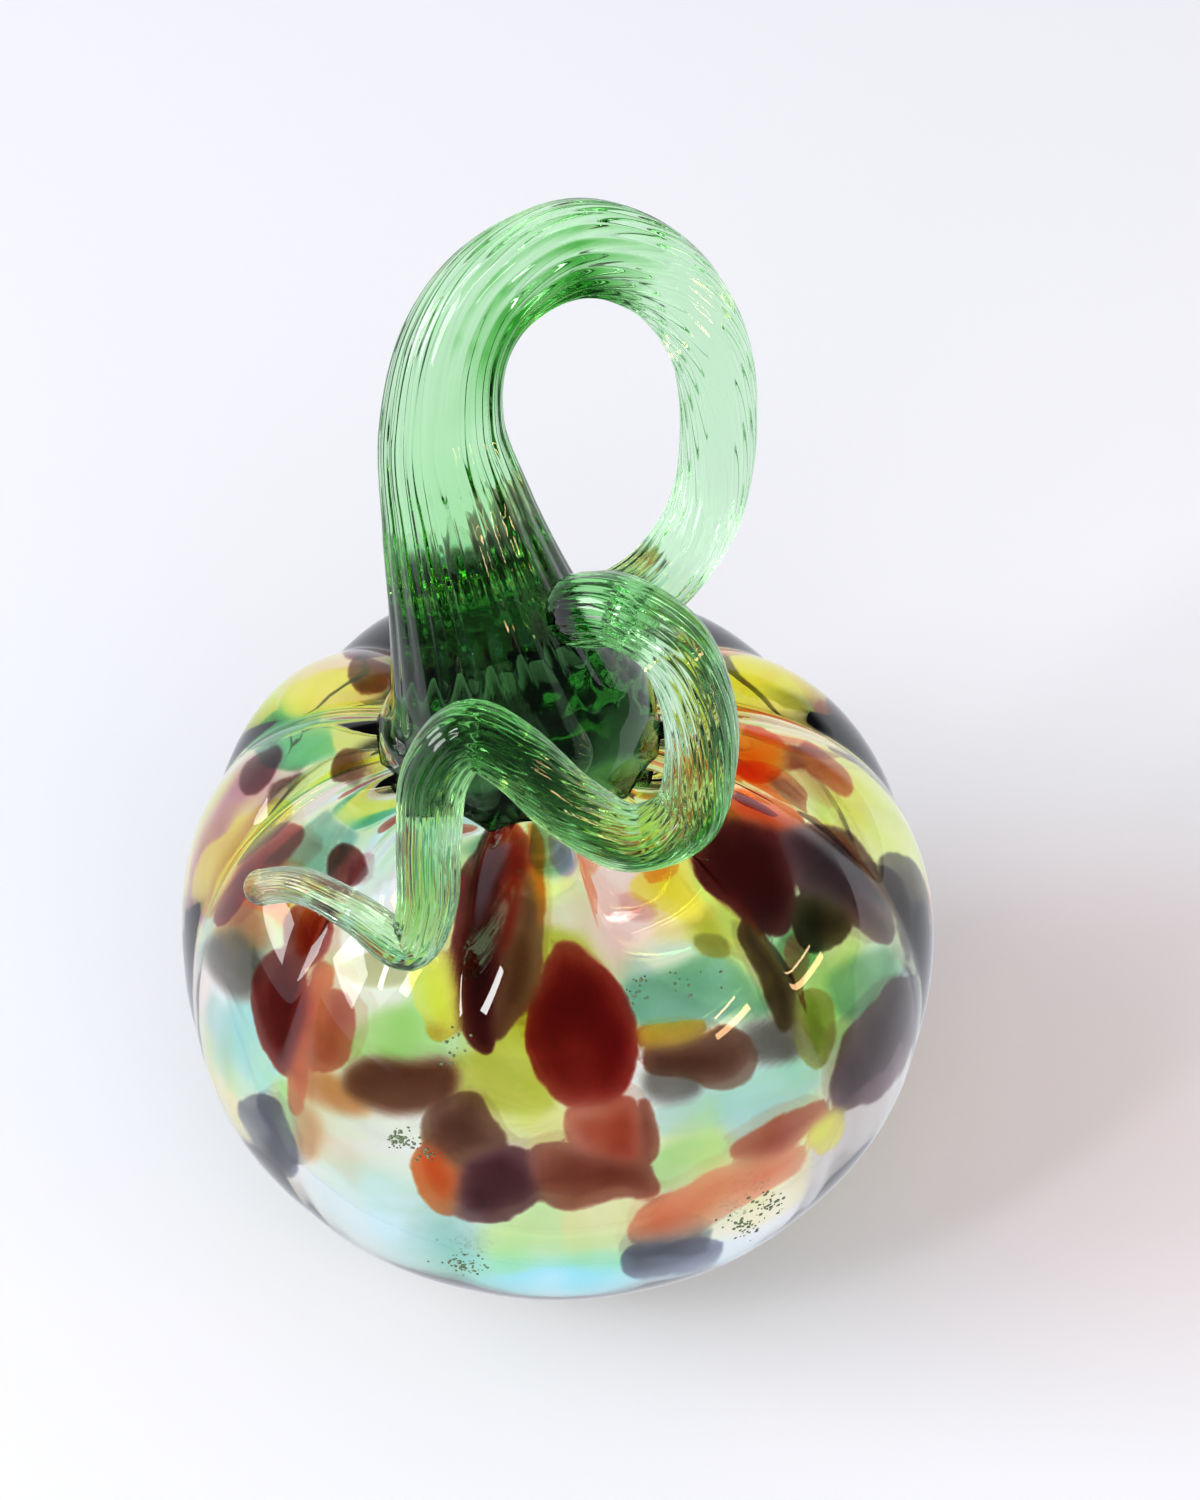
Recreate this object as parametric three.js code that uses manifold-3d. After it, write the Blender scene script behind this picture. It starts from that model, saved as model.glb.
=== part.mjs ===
// A blown glass pumpkin ornament with a curled stem, in millimetres, +Z up.
//
// The body is a hollow bubble of clear glass. Chips of coloured glass were picked up on the hot bubble
// and covered by a second clear gather, and a ribbed mould gave both their lobes. The neck, where the
// body came off the pipe, is closed by the stem: one gather of green glass, ribbed and twisted, pulled
// into a loop and wound into a curl with a thin tail.
//
// The origin is the middle of the flat base. The curl faces the front, -Y, and +X is on its right.
// A turn is an angle round the body: 0 is the front, and 90 is the right side. A level is an angle on
// the body's profile: 0 is the belly, 90 is the top and -90 the bottom.
import * as THREE from "three";
import { mergeGeometries, mergeVertices } from "three/addons/utils/BufferGeometryUtils.js";
import Module from "manifold-3d";

const wasm = await Module();
wasm.setup();

// The body's outside
const BODY_RADIUS = 47.5; // over the lobes, at the belly
const BELLY_HEIGHT = 36.5; // of the widest level, over the table
const CROWN_RISE = 40; // of the profile's curve over the belly, without the dimple
const BASE_DROP = 40; // of the profile's curve under the belly, which the flat base cuts short
const CROWN_POWER = 2.3; // of the curve over the belly: 2 is an ellipse, more is squarer
const BASE_POWER = 2.1;
const DIMPLE_DEPTH = 6;
const DIMPLE_REACH = 14; // radius where the dimple has mostly faded
const CROWN_LEAN = -3; // sideways shift of the top, where the hot bubble leaned over
const NECK_RADIUS = 6;

// The lobes and the furrows between them
const LOBES = 12;
const FURROW_ON_CROWN = 2.4; // depth on the shoulder
const FURROW_AT_BELLY = 0.9;
const FURROW_START = 7; // radius where the furrows begin, under the stem's foot
const FURROW_FULL = 20; // radius where they have their full depth

// The wall's layers, as depths under the outside
const CASING = [0, 1.3];
const CHIP_LAYER = [1.6, 2.2];
const BUBBLE = [2.5, 4];

// Counts of facets
const SIDES_PER_LOBE = 4;
const CROWN_ROWS = 9;
const BASE_ROWS = 5;
const CHIP_SIDES = 10;
const STEM_RINGS = 72;
const TIP_RINGS = 4;
const PLUG_SIDES = 24;

// The chips
const CHIP_GAP = 0.4; // between two chips
const CHIP_CUTTER = 14; // length of the prism that cuts a chip out of its layer
const CHIP_WOBBLE = [0.12, 0.08]; // share of a chip's half width by which its edge swells, 2 and 3 times round
const GOLDEN_ANGLE = 2.4; // radians between the wobbles of one chip and the next

// The stem
const STEM_GAP = 0.3; // to the body
const PLUG_CLEARANCE = 0.5; // of the plug in the neck
const PLUG_DEPTH = 5;
const STEM_RIBS = 18;
const RIB_SHARE = 0.05; // height of a rib, as a share of the rod's radius
const RIBS_FROM = 12; // length along the rod where the ribs begin, over the smooth foot
const RIBS_FULL = 24;
const TWIST_AT_FOOT = -0.01; // turn of the ribs along the rod, in radians a millimetre
const TWIST_AT_TIP = -0.12;

// The rod's middle line, from the foot to the tip: right, back, up, and the rod's radius there
const STEM_LINE = [
  [-4.5, 0, 65, 15.5], // inside the dimple
  [-4.5, 0, 71, 17.2], // foot
  [-4.7, 0, 75.5, 16.6],
  [-5.6, 0, 80, 14.9],
  [-6.9, 0, 85, 13.2], // trunk
  [-8.7, 1, 92, 11.3],
  [-11.2, 4, 102, 9.2],
  [-13, 8, 112, 7.4], // loop, left limb
  [-11.2, 11, 122, 6.4],
  [-6, 13, 129, 5.9],
  [3, 14, 133, 5.7], // top of the loop
  [11.5, 13, 130.5, 5.2],
  [17.5, 11, 122.5, 4.7], // loop, right limb
  [19, 8, 112, 4.5],
  [17.5, 4, 103, 4.4],
  [13.2, 0, 97.5, 4.4],
  [8, -5, 96.5, 4.4], // beside the trunk
  [3.4, -11, 100.5, 4.4], // turning to the front
  [8, -15.5, 104, 4.3], // curl
  [13.4, -18, 101.3, 4.3],
  [16.4, -20, 94, 4.3],
  [16.8, -22, 86.6, 4.2],
  [15, -24, 80.2, 4.1],
  [9, -25, 78, 4],
  [1.6, -25.5, 83.8, 4],
  [-4.3, -25, 90.6, 4],
  [-9.4, -24, 93.2, 4], // hump
  [-13.4, -25, 87.8, 4],
  [-14.2, -28.5, 81.5, 3.8],
  [-14.6, -32.3, 74, 3.5],
  [-16.8, -34.2, 69.6, 3], // bend over the body's shoulder
  [-22.8, -31.5, 72.3, 2.4], // tail
  [-29, -27, 72.2, 2.2],
  [-35.8, -21.5, 66.6, 2.2], // tip
];

// Glass colours
const COLOURS = {
  clear: "#eef4f4",
  green: "#1f8a34",
  maroon: "#4a1420",
  ruby: "#8c1a16",
  brown: "#7a3420",
  rose: "#e8b9bd",
  salmon: "#d98468",
  orange: "#d9782c",
  amber: "#c98d33",
  yellow: "#e6d65a",
  olive: "#8f8a30",
  lime: "#b5d860",
  emerald: "#1f9a68",
  turquoise: "#6aa9a8",
  aqua: "#bfe0ea",
  sky: "#7cc4e4",
  navy: "#1e2a52",
  plum: "#4a3348",
};

// The chips: colour, turn, level, width, length up the body, and lean of its top to the right in degrees
const CHIPS = [
  // Front
  ["maroon", -9, 50, 9, 29, 2],
  ["ruby", 8, 35, 13, 20, -8],
  ["rose", 21, 56, 9, 17, -6],
  ["lime", 35, 55, 7, 15, 0],
  ["turquoise", 29, 39, 15, 8, 8],
  ["plum", 25, 26, 14, 6, 4],
  ["aqua", 29, 16, 14, 6, 10],
  ["olive", -9, 28, 9, 8, 0],
  ["lime", -26, 31, 12, 8, 0],
  ["brown", -24, 21.5, 13, 5, 0],
  ["maroon", -11, 11, 15, 13, 30],
  ["brown", 6, 14, 14, 9, 0],
  ["salmon", 23, 0, 20, 8, 60],
  ["brown", 36, 9, 5, 12, 60],
  ["yellow", 5, 2, 15, 5, 0],
  ["lime", -6, -6, 12, 6, 0],
  ["sky", 2, -16, 18, 8, 0],
  ["navy", 22, -18, 16, 8, 20],
  // Right
  ["brown", 55, 49, 12, 20, 0],
  ["plum", 67, 37, 9, 20, 4],
  ["olive", 52, 33, 6, 6, 0],
  ["olive", 44, 20, 5, 10, 0],
  ["navy", 57, 12, 10, 20, 14],
  ["orange", 84, 57, 9, 8, 0],
  ["orange", 90, 44, 8, 9, 0],
  ["ruby", 82, 22, 12, 18, -10],
  ["aqua", 74, -4, 14, 12, 0],
  ["yellow", 118, 46, 20, 16, 0],
  ["amber", 103, 14, 10, 22, 8],
  ["salmon", 48, -12, 13, 9, 30],
  // Left
  ["aqua", -52, 57, 9, 12, 0],
  ["maroon", -42, 55, 4, 8, 0],
  ["ruby", -45, 42, 8, 10, 0],
  ["ruby", -43, 25, 11, 19, 4],
  ["salmon", -33, 10, 11, 10, 0],
  ["aqua", -29, -6, 18, 10, -10],
  ["plum", -60, 25, 7, 8, 0],
  ["sky", -53, 11, 8, 14, -6],
  ["navy", -50, -6, 10, 10, -20],
  ["ruby", -64, 42, 7, 17, 4],
  ["lime", -80, 58, 12, 12, 0],
  ["plum", -83, 35, 8, 27, 2],
  ["emerald", -98, 52, 5, 14, 0],
  ["amber", -114, 58, 11, 13, 0],
  ["brown", -76, 5, 11, 16, -10],
  // Back
  ["maroon", -133, 50, 11, 18, 0],
  ["turquoise", -105, 14, 13, 16, 10],
  ["yellow", -134, 17, 15, 14, 0],
  ["ruby", -158, 30, 12, 22, -8],
  ["sky", -162, 2, 16, 12, 0],
  ["lime", 178, 50, 13, 18, 0],
  ["maroon", 168, 14, 12, 18, 12],
  ["navy", 147, 44, 14, 12, 0],
  ["orange", 140, 16, 13, 16, -6],
  ["plum", 121, -4, 13, 12, 0],
];

// A point of the profile of the surface that lies inset under the outside, at a level in radians.
// normal points out of the wall in the profile's plane, and furrow is the furrows' depth there.
function profilePoint(level, inset) {
  const power = level > 0 ? CROWN_POWER : BASE_POWER;
  const curveHeight = level > 0 ? CROWN_RISE : BASE_DROP;
  const across = Math.cos(level);
  const upward = Math.abs(Math.sin(level));
  const radius = (BODY_RADIUS - inset) * across ** (2 / power);
  const rise = Math.sign(level) * (curveHeight - inset) * upward ** (2 / power);
  const dimple = level > 0 ? DIMPLE_DEPTH * Math.exp(-((radius / DIMPLE_REACH) ** 2)) : 0;
  const normal = new THREE.Vector2(
    across ** (2 - 2 / power) / BODY_RADIUS,
    (Math.sign(level) * upward ** (2 - 2 / power)) / curveHeight,
  ).normalize();
  return { radius, height: BELLY_HEIGHT + rise - dimple, normal, furrow: furrowDepth(level, radius) };
}

function furrowDepth(level, radius) {
  const onCrown = FURROW_AT_BELLY + (FURROW_ON_CROWN - FURROW_AT_BELLY) * Math.sin(level);
  if (level > 0) return onCrown * THREE.MathUtils.smoothstep(radius, FURROW_START, FURROW_FULL);
  return FURROW_AT_BELLY * (1 - level / baseLevel(0)) ** 2;
}

// The level where the surface that lies inset under the outside meets the flat base
function baseLevel(inset) {
  return -Math.asin(((BELLY_HEIGHT - inset) / (BASE_DROP - inset)) ** (BASE_POWER / 2));
}

// The level where that surface reaches the neck
function neckLevel(inset) {
  return Math.acos((NECK_RADIUS / (BODY_RADIUS - inset)) ** (CROWN_POWER / 2));
}

// The profile rows of one surface, from the neck down to the middle of the base
function profileRows(inset) {
  const rows = [];
  const neck = neckLevel(inset);
  const base = baseLevel(inset);
  for (let i = 0; i <= CROWN_ROWS; i++) rows.push(profilePoint(neck * (1 - i / CROWN_ROWS), inset));
  for (let i = 1; i <= BASE_ROWS; i++) rows.push(profilePoint((base * i) / BASE_ROWS, inset));
  const edge = rows.at(-1);
  edge.furrow = 0;
  rows.push({ ...edge, radius: 0 });
  return rows;
}

const crownLean = (height) =>
  CROWN_LEAN * THREE.MathUtils.clamp((height - BELLY_HEIGHT) / (CROWN_RISE - DIMPLE_DEPTH), 0, 1) ** 2;

// Turns profile rows round the axis and presses the furrows in. Rows that go up the axis face out.
function lobedSurface(rows) {
  const profile = rows.map((row) => new THREE.Vector2(row.radius, row.height));
  const sides = LOBES * SIDES_PER_LOBE;
  const surface = new THREE.LatheGeometry(profile, sides).rotateX(Math.PI / 2);
  const position = surface.getAttribute("position");
  for (let i = 0; i < position.count; i++) {
    const { normal, furrow } = rows[i % rows.length];
    const turn = (2 * Math.PI * Math.floor(i / rows.length)) / sides;
    const depth = furrow * (1 - Math.abs(Math.cos((LOBES / 2) * turn)));
    const height = position.getZ(i) - depth * normal.y;
    const inward = depth * normal.x;
    position.setXYZ(
      i,
      position.getX(i) - inward * Math.sin(turn) + crownLean(height),
      position.getY(i) + inward * Math.cos(turn),
      height,
    );
  }
  return surface;
}

// A closed geometry as a solid: shared corners merged, and the facets that collapse on the axis dropped
function toSolid(geometry) {
  const bare = geometry.index ? geometry.toNonIndexed() : geometry.clone();
  bare.deleteAttribute("normal");
  bare.deleteAttribute("uv");
  const merged = mergeVertices(bare);
  const corners = merged.index.array;
  const triangles = [];
  for (let i = 0; i < corners.length; i += 3) {
    const [a, b, c] = corners.slice(i, i + 3);
    if (a !== b && b !== c && c !== a) triangles.push(a, b, c);
  }
  const vertProperties = merged.getAttribute("position").array;
  const mesh = new wasm.Mesh({ numProp: 3, vertProperties, triVerts: new Uint32Array(triangles) });
  return new wasm.Manifold(mesh);
}

function toGeometry(solid) {
  const mesh = solid.getMesh();
  const geometry = new THREE.BufferGeometry();
  geometry.setAttribute("position", new THREE.BufferAttribute(mesh.vertProperties, 3));
  geometry.setIndex(new THREE.BufferAttribute(mesh.triVerts, 1));
  geometry.computeVertexNormals();
  return geometry;
}

// A layer of the wall between two depths, open at the neck
function wallLayer([outside, inside]) {
  const outer = profileRows(outside);
  const inner = profileRows(inside);
  const outerSheet = lobedSurface([...outer].reverse());
  const innerSheet = lobedSurface([outer[0], ...inner]);
  return toSolid(mergeGeometries([outerSheet, innerSheet]));
}

// The whole body as one filled solid, grown by a gap
function filledBody(gap) {
  const rows = profileRows(-gap);
  const top = { ...rows[0], radius: 0 };
  return toSolid(lobedSurface([top, ...rows].reverse()));
}

// The outline of a chip: an oval whose edge swells and shrinks a little, not the same on any two
function chipOutline(width, length, index) {
  const [twice, thrice] = CHIP_WOBBLE;
  const start = index * GOLDEN_ANGLE;
  const points = [];
  for (let i = 0; i < CHIP_SIDES; i++) {
    const angle = (2 * Math.PI * i) / CHIP_SIDES;
    const reach = 1 + twice * Math.cos(2 * angle + start) + thrice * Math.cos(3 * angle + 2 * start);
    points.push(new THREE.Vector2(width * Math.cos(angle), length * Math.sin(angle)).multiplyScalar(reach / 2));
  }
  return new THREE.Shape(points);
}

// A prism with a chip's outline, set square to the wall where the chip lies
function chipCutter([, turnDegrees, levelDegrees, width, length, lean], index, margin) {
  const turn = THREE.MathUtils.degToRad(turnDegrees);
  const { radius, height, normal } = profilePoint(THREE.MathUtils.degToRad(levelDegrees), CHIP_LAYER[0]);
  const side = new THREE.Vector3(Math.cos(turn), Math.sin(turn), 0);
  const out = new THREE.Vector3(normal.x * Math.sin(turn), -normal.x * Math.cos(turn), normal.y);
  const up = new THREE.Vector3().crossVectors(out, side);
  const place = new THREE.Matrix4().makeBasis(side, up, out);
  place.setPosition(radius * Math.sin(turn) + crownLean(height), -radius * Math.cos(turn), height);
  const outline = chipOutline(width + 2 * margin, length + 2 * margin, index);
  const prism = new THREE.ExtrudeGeometry(outline, { depth: CHIP_CUTTER, bevelEnabled: false });
  prism.translate(0, 0, -CHIP_CUTTER / 2).rotateZ(-THREE.MathUtils.degToRad(lean));
  return toSolid(prism.applyMatrix4(place));
}

const largestBody = (solid) => solid.decompose().reduce((a, b) => (b.volume() > a.volume() ? b : a));

// The chips, cut out of their layer one after the other, so that each keeps clear of those before it
function makeChips() {
  let layer = wallLayer(CHIP_LAYER);
  const madeOf = {};
  return CHIPS.map((chip, index) => {
    const [colour] = chip;
    madeOf[colour] = (madeOf[colour] ?? 0) + 1;
    const solid = largestBody(layer.intersect(chipCutter(chip, index, 0)));
    layer = layer.subtract(chipCutter(chip, index, CHIP_GAP));
    return glassMesh(`chip_${colour}_${madeOf[colour]}`, solid, colour);
  });
}

// Places along the rod for its rings, as shares of its length, closer together in the rounded tip
function ringShares(tipShare) {
  const shares = [];
  for (let i = 0; i <= STEM_RINGS; i++) shares.push(((1 - tipShare) * i) / STEM_RINGS);
  for (let i = 1; i < TIP_RINGS; i++) {
    const intoTip = Math.sin((Math.PI * i) / (2 * TIP_RINGS));
    shares.push(1 - tipShare * (1 - intoTip));
  }
  return shares;
}

// The points of one ring: every second one lies in the valley between two ribs
function ringPoints(middle, across, beside, radius, ribHeight, twist) {
  const points = [];
  for (let i = 0; i < 2 * STEM_RIBS; i++) {
    const angle = (Math.PI * i) / STEM_RIBS + twist;
    const reach = radius - (i % 2) * ribHeight;
    const point = middle.clone().addScaledVector(across, reach * Math.cos(angle));
    points.push(...point.addScaledVector(beside, reach * Math.sin(angle)));
  }
  return points;
}

// The rod as a closed solid of rings, with ribs that twist along it and a rounded tip
function stemRod() {
  const line = new THREE.CatmullRomCurve3(STEM_LINE.map(([x, y, z]) => new THREE.Vector3(x, y, z)));
  const radii = new THREE.CatmullRomCurve3(STEM_LINE.map(([, , , radius]) => new THREE.Vector3(radius, 0, 0)));
  const length = line.getLength();
  const tipShare = radii.getPoint(1).x / length;
  const shares = ringShares(tipShare);
  const across = new THREE.Vector3(1, 0, 0);
  const positions = [];
  for (const share of shares) {
    const along = line.getTangentAt(share);
    across.addScaledVector(along, -across.dot(along)).normalize();
    const beside = new THREE.Vector3().crossVectors(along, across);
    const intoTip = Math.max(0, 1 - (1 - share) / tipShare);
    const radius = radii.getPoint(line.getUtoTmapping(share)).x * Math.sqrt(1 - intoTip ** 2);
    const ribHeight = RIB_SHARE * radius * THREE.MathUtils.smoothstep(share * length, RIBS_FROM, RIBS_FULL);
    const twist = share * length * THREE.MathUtils.lerp(TWIST_AT_FOOT, TWIST_AT_TIP, share / 2);
    positions.push(...ringPoints(line.getPointAt(share), across, beside, radius, ribHeight, twist));
  }
  positions.push(...line.getPointAt(0), ...line.getPointAt(1));
  return ringSolid(positions, shares.length);
}

// Joins rings of points into a closed solid. The last two points are the middles of its two ends.
function ringSolid(positions, rings) {
  const sides = 2 * STEM_RIBS;
  const lastRing = (rings - 1) * sides;
  const startPoint = rings * sides;
  const endPoint = startPoint + 1;
  const triangles = [];
  for (let i = 0; i < sides; i++) {
    const next = (i + 1) % sides;
    for (let ring = 0; ring < lastRing; ring += sides) {
      triangles.push(ring + i, ring + next, ring + sides + i);
      triangles.push(ring + next, ring + sides + next, ring + sides + i);
    }
    triangles.push(startPoint, next, i, endPoint, lastRing + i, lastRing + next);
  }
  const rod = new THREE.BufferGeometry();
  rod.setAttribute("position", new THREE.Float32BufferAttribute(positions, 3));
  rod.setIndex(triangles);
  return toSolid(rod);
}

// The stem: the rod, hollowed under its foot to sit on the lobes, with a plug that hangs into the neck
function makeStem() {
  const neck = profilePoint(neckLevel(0), 0);
  const plugRadius = NECK_RADIUS - PLUG_CLEARANCE;
  const plug = new THREE.CylinderGeometry(plugRadius, plugRadius, 2 * PLUG_DEPTH, PLUG_SIDES);
  plug.rotateX(Math.PI / 2).translate(crownLean(neck.height), 0, neck.height);
  const rod = stemRod().subtract(filledBody(STEM_GAP)).add(toSolid(plug));
  return glassMesh("stem", largestBody(rod), "green");
}

function glassMesh(name, solid, colour) {
  const finish = { roughness: 0.05, metalness: 0, transparent: true, opacity: 0.6 };
  const glass = new THREE.MeshStandardMaterial({ color: COLOURS[colour], ...finish });
  const mesh = new THREE.Mesh(toGeometry(solid), glass);
  mesh.name = name;
  return mesh;
}

const pumpkin = new THREE.Group();
pumpkin.add(glassMesh("outer_casing", wallLayer(CASING), "clear"));
pumpkin.add(glassMesh("inner_bubble", wallLayer(BUBBLE), "clear"));
pumpkin.add(...makeChips());
pumpkin.add(makeStem());

export default pumpkin;
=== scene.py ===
"""The dressed glass pumpkin: a hollow lobed body full of fused colour, and a ribbed, twisted green stem."""

import math

import bmesh
import bpy
import numpy as np
from mathutils import Euler, Matrix, Vector
from mathutils.bvhtree import BVHTree


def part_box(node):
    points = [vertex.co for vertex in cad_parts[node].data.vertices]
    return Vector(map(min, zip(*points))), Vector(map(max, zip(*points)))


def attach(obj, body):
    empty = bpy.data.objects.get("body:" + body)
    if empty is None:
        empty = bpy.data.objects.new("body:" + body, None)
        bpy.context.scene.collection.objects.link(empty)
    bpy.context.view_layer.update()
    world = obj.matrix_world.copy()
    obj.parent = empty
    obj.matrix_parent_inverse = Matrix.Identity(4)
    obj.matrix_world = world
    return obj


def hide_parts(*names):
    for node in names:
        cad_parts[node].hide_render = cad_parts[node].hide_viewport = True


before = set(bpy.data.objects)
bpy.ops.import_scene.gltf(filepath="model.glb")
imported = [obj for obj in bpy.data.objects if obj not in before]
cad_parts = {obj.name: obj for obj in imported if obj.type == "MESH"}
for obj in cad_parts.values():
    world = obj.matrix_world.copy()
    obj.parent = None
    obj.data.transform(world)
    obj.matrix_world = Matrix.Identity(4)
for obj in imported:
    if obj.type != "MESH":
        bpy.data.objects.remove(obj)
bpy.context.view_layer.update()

MM = 0.001

# The body, in millimetres, by the CAD solid's own formulas, with finer furrows
BELLY_HEIGHT = 36.5
CROWN_RISE = 40
BASE_DROP = 40
CROWN_POWER = 2.3
BASE_POWER = 2.1
DIMPLE_DEPTH = 6
DIMPLE_REACH = 14
CROWN_LEAN = -3
NECK_RADIUS = 6
LOBES = 12
FURROW_ON_CROWN = 2.4
FURROW_AT_BELLY = 0.6
FURROW_START = 7
FURROW_FULL = 20
FURROW_ROUND = 0.1  # how softly the bottom of a furrow is rounded: 0 is a sharp crease
INNER_RELIEF = 0.5  # share of the furrows' depth that shows on the inside of the wall
WALL = 4
CHIP_DEPTH = 1.9  # from the outside to the middle of the layer of chips
PUNT = 0.5  # hollow of the base over the table

# Fineness of the meshes
OUTER_COLUMNS = 40  # in each lobe
OUTER_ROWS = 176
INNER_COLUMNS = 12
INNER_ROWS = 60
BASE_RINGS = 8
PROFILE_SAMPLES = 800

# Random waves: how many are added up, and least and most of their lengths as shares of the one asked for
RIPPLE_WAVES = 12
RIPPLE_LENGTHS = (0.7, 1.5)

# The stem: its middle line and radius, in millimetres, as in the CAD
STEM_LINE = np.array([
    (-4.7, 0, 75.5, 16.6),
    (-5.6, 0, 80, 14.9),
    (-6.9, 0, 85, 13.2),
    (-8.7, 1, 92, 11.3),
    (-11.2, 4, 102, 9.2),
    (-13, 8, 112, 7.4),
    (-11.2, 11, 122, 6.4),
    (-6, 13, 129, 5.9),
    (3, 14, 133, 5.7),
    (11.5, 13, 130.5, 5.2),
    (17.5, 11, 122.5, 4.7),
    (19, 8, 112, 4.5),
    (17.5, 4, 103, 4.4),
    (13.2, 0, 97.5, 4.4),
    (8, -5, 96.5, 4.4),
    (3.4, -11, 100.5, 4.4),
    (8, -15.5, 104, 4.3),
    (13.4, -18, 101.3, 4.3),
    (16.4, -20, 94, 4.3),
    (16.8, -22, 86.6, 4.2),
    (15, -24, 80.2, 4.1),
    (9, -25, 78, 4),
    (1.6, -25.5, 83.8, 4),
    (-4.3, -25, 90.6, 4),
    (-9.4, -24, 93.2, 4),
    (-13.4, -25, 87.8, 4),
    (-14.2, -28.5, 81.5, 3.8),
    (-14.6, -32.3, 74, 3.5),
    (-16.8, -34.2, 69.6, 3),
    (-22.8, -31.5, 72.3, 2.4),
    (-29, -27, 72.2, 2.2),
    (-35.8, -21.5, 66.6, 2.2),
])
FOOT_POINT = (-4.5, 0, 71, 17.2)  # the foot's widest level, where the rod meets the body
FOOT_RINGS = 24
FOOT_SINK = 0.3  # of the foot into the body's wall, where the two are fused
OVERHEAD = 0.2  # metres, above the whole object
STEM_SAMPLES = 40  # of the curve between two points of the middle line
STEM_RINGS = 400
TIP_RINGS = 8
DIRECTION_STEP = 0.5  # millimetres to either side over which the rod's direction is taken
RIBS = 20
COLUMNS_PER_RIB = 10
STEM_COLUMNS = RIBS * COLUMNS_PER_RIB
# Along the rod, in millimetres from the foot: height of a rib as a share of the radius,
# and twist in radians a millimetre
RIB_LINE = np.array([
    (0, 0, 0), (6, 0, 0), (20, 0.034, 0), (45, 0.045, -0.005), (60, 0.05, -0.035), (82, 0.05, -0.045),
    (95, 0.05, -0.03), (115, 0.048, -0.03), (137, 0.05, -0.01), (165, 0.05, -0.01), (175, 0.05, -0.06),
    (195, 0.05, -0.06), (206, 0.045, 0), (230, 0.04, 0), (240, 0.03, -0.02), (257, 0.03, -0.02),
])
GROOVE_ROUND = 0.12  # how softly the groove between two ribs is rounded: 0 is a sharp crease
BEND_GAIN = 1.5  # inside a bend the ribs are pressed together and stand higher, outside they are drawn flat
PRESSED = (0.4, 2.5)  # least and most by which this changes their height
PALE_GREEN = (0.91, 0.94, 0.91)
# The deepest green, which also serves as the rod's painted shade
DEEP_GREEN_AND_SHADE = (0.25, 0.6, 0.22)  # light let through where the green lies deepest
# Along the rod, in millimetres from the foot: how deep the green is all round, partly the glass's own green
# and partly painted shade, and more of it inside a bend, which is painted shade
GREEN_AND_SHADE_LINE = np.array([
    (0, 0, 0), (45, 0, 0), (54, 0, 2), (62, 0, 3.2), (74, 0, 3), (84, 0, 0), (120, 0, 0), (132, 0.35, 0),
    (146, 0.25, 0), (156, 0, 0), (166, 0, 0), (176, 0.25, 0), (184, 0.3, 0), (190, 0.5, 0), (202, 0.9, 0),
    (212, 0.7, 0), (220, 0.1, 0), (229, 0.35, 0), (236, 0.15, 0), (244, 0, 0),
])
# The painted shade inside a bend comes in between these changes of the ribs' height
BEND_SHADE_PRESSED = (1, 1.5)  # changes of the ribs' height between which the green inside a bend comes in

# Camera, fitted to the photograph: place in millimetres, pitch from straight down
CAMERA_PLACE = (5.3, -354.9, 388.7)
CAMERA_PITCH = math.radians(48)
FOCAL_PIXELS = 3931.6
PHOTO_WIDTH = 1200
PHOTO_HEIGHT = 1500
SENSOR = 36

# Stage, in metres
PAPER = (0.84, 0.855, 0.92, 1)
SEEN_PAPER = 1.1  # brightness of the lit paper through the glass, whose surfaces each take some light
DIMMED = 0.12  # share of the paper's light that the glass shows where the lit paper ends
FRONT_EDGE = (0.045, 0.075)  # way to the front over which it ends in what the glass mirrors
BACK_EDGE = (0.35, 0.5)  # way to the back over which it ends in what is seen through the glass
BACK_WEDGE = 1  # how much farther back this edge lies for each metre to a side
# A pool of coloured light painted on the paper in the object's shadow beside it, for the light through the
# glass
PAINTED_CAUSTIC_PAPER = (0.88, 0.8, 0.845, 1)  # where light that came through the glass falls on the paper
PAINTED_CAUSTIC_PLACE = (0.08, 0.01, 0)
PAINTED_CAUSTIC_REACH = (0.01, 0.07)  # distances from there over which it fades
FLOOR_HALF = 2
FLOOR_LEVEL = -0.0001
FLOOR_ROUGHNESS = 0.7
FLOOR_GLOSS = 0.1
AMBIENT = 0.5  # strength of the even light on the floor
DIM_ROOM = (0.05, 0.05, 0.06, 1)
# Height of the room in a direction: its x, y, z and unsigned x times a number each, plus the last number;
# for what is seen through the glass, and for what it mirrors
SEEN_SLOPE = (0, 0.2, 1, -1, -0.05)
MIRRORED_SLOPE = (0.6, -0.5, 1, 0, 0.1)
ROOM_EDGE = (0.02, 0.3)  # heights over which the room gets dim
WHITE = (1, 1, 1)
# Lamps, aimed at the body: place, size, watts and colour
LAMPS = [
    ("sky_light", (-1.7, -0.45, 1.35), (1.6, 1.6), 17, WHITE),
    ("room_light", (0.2, -2.2, 1.5), (2.4, 1.4), 28, WHITE),
    ("left_window", (-1.5, -0.25, 0.55), (0.9, 0.5), 12, WHITE),
    ("front_window", (-0.95, -0.84, 0.98), (0.12, 0.5), 3.6, WHITE),
    ("warm_tube", (1.11, -0.64, 0.42), (0.7, 0.06), 2.6, (1, 0.6, 0.3)),
    ("warm_line", (1.11, -0.64, 0.58), (0.5, 0.02), 0.7, (1, 0.66, 0.36)),
]
NOT_MIRRORED = ("sky_light", "room_light")  # by the glass
NOT_SEEN_THROUGH = ("left_window",)
BOUNCES = 24

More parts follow.
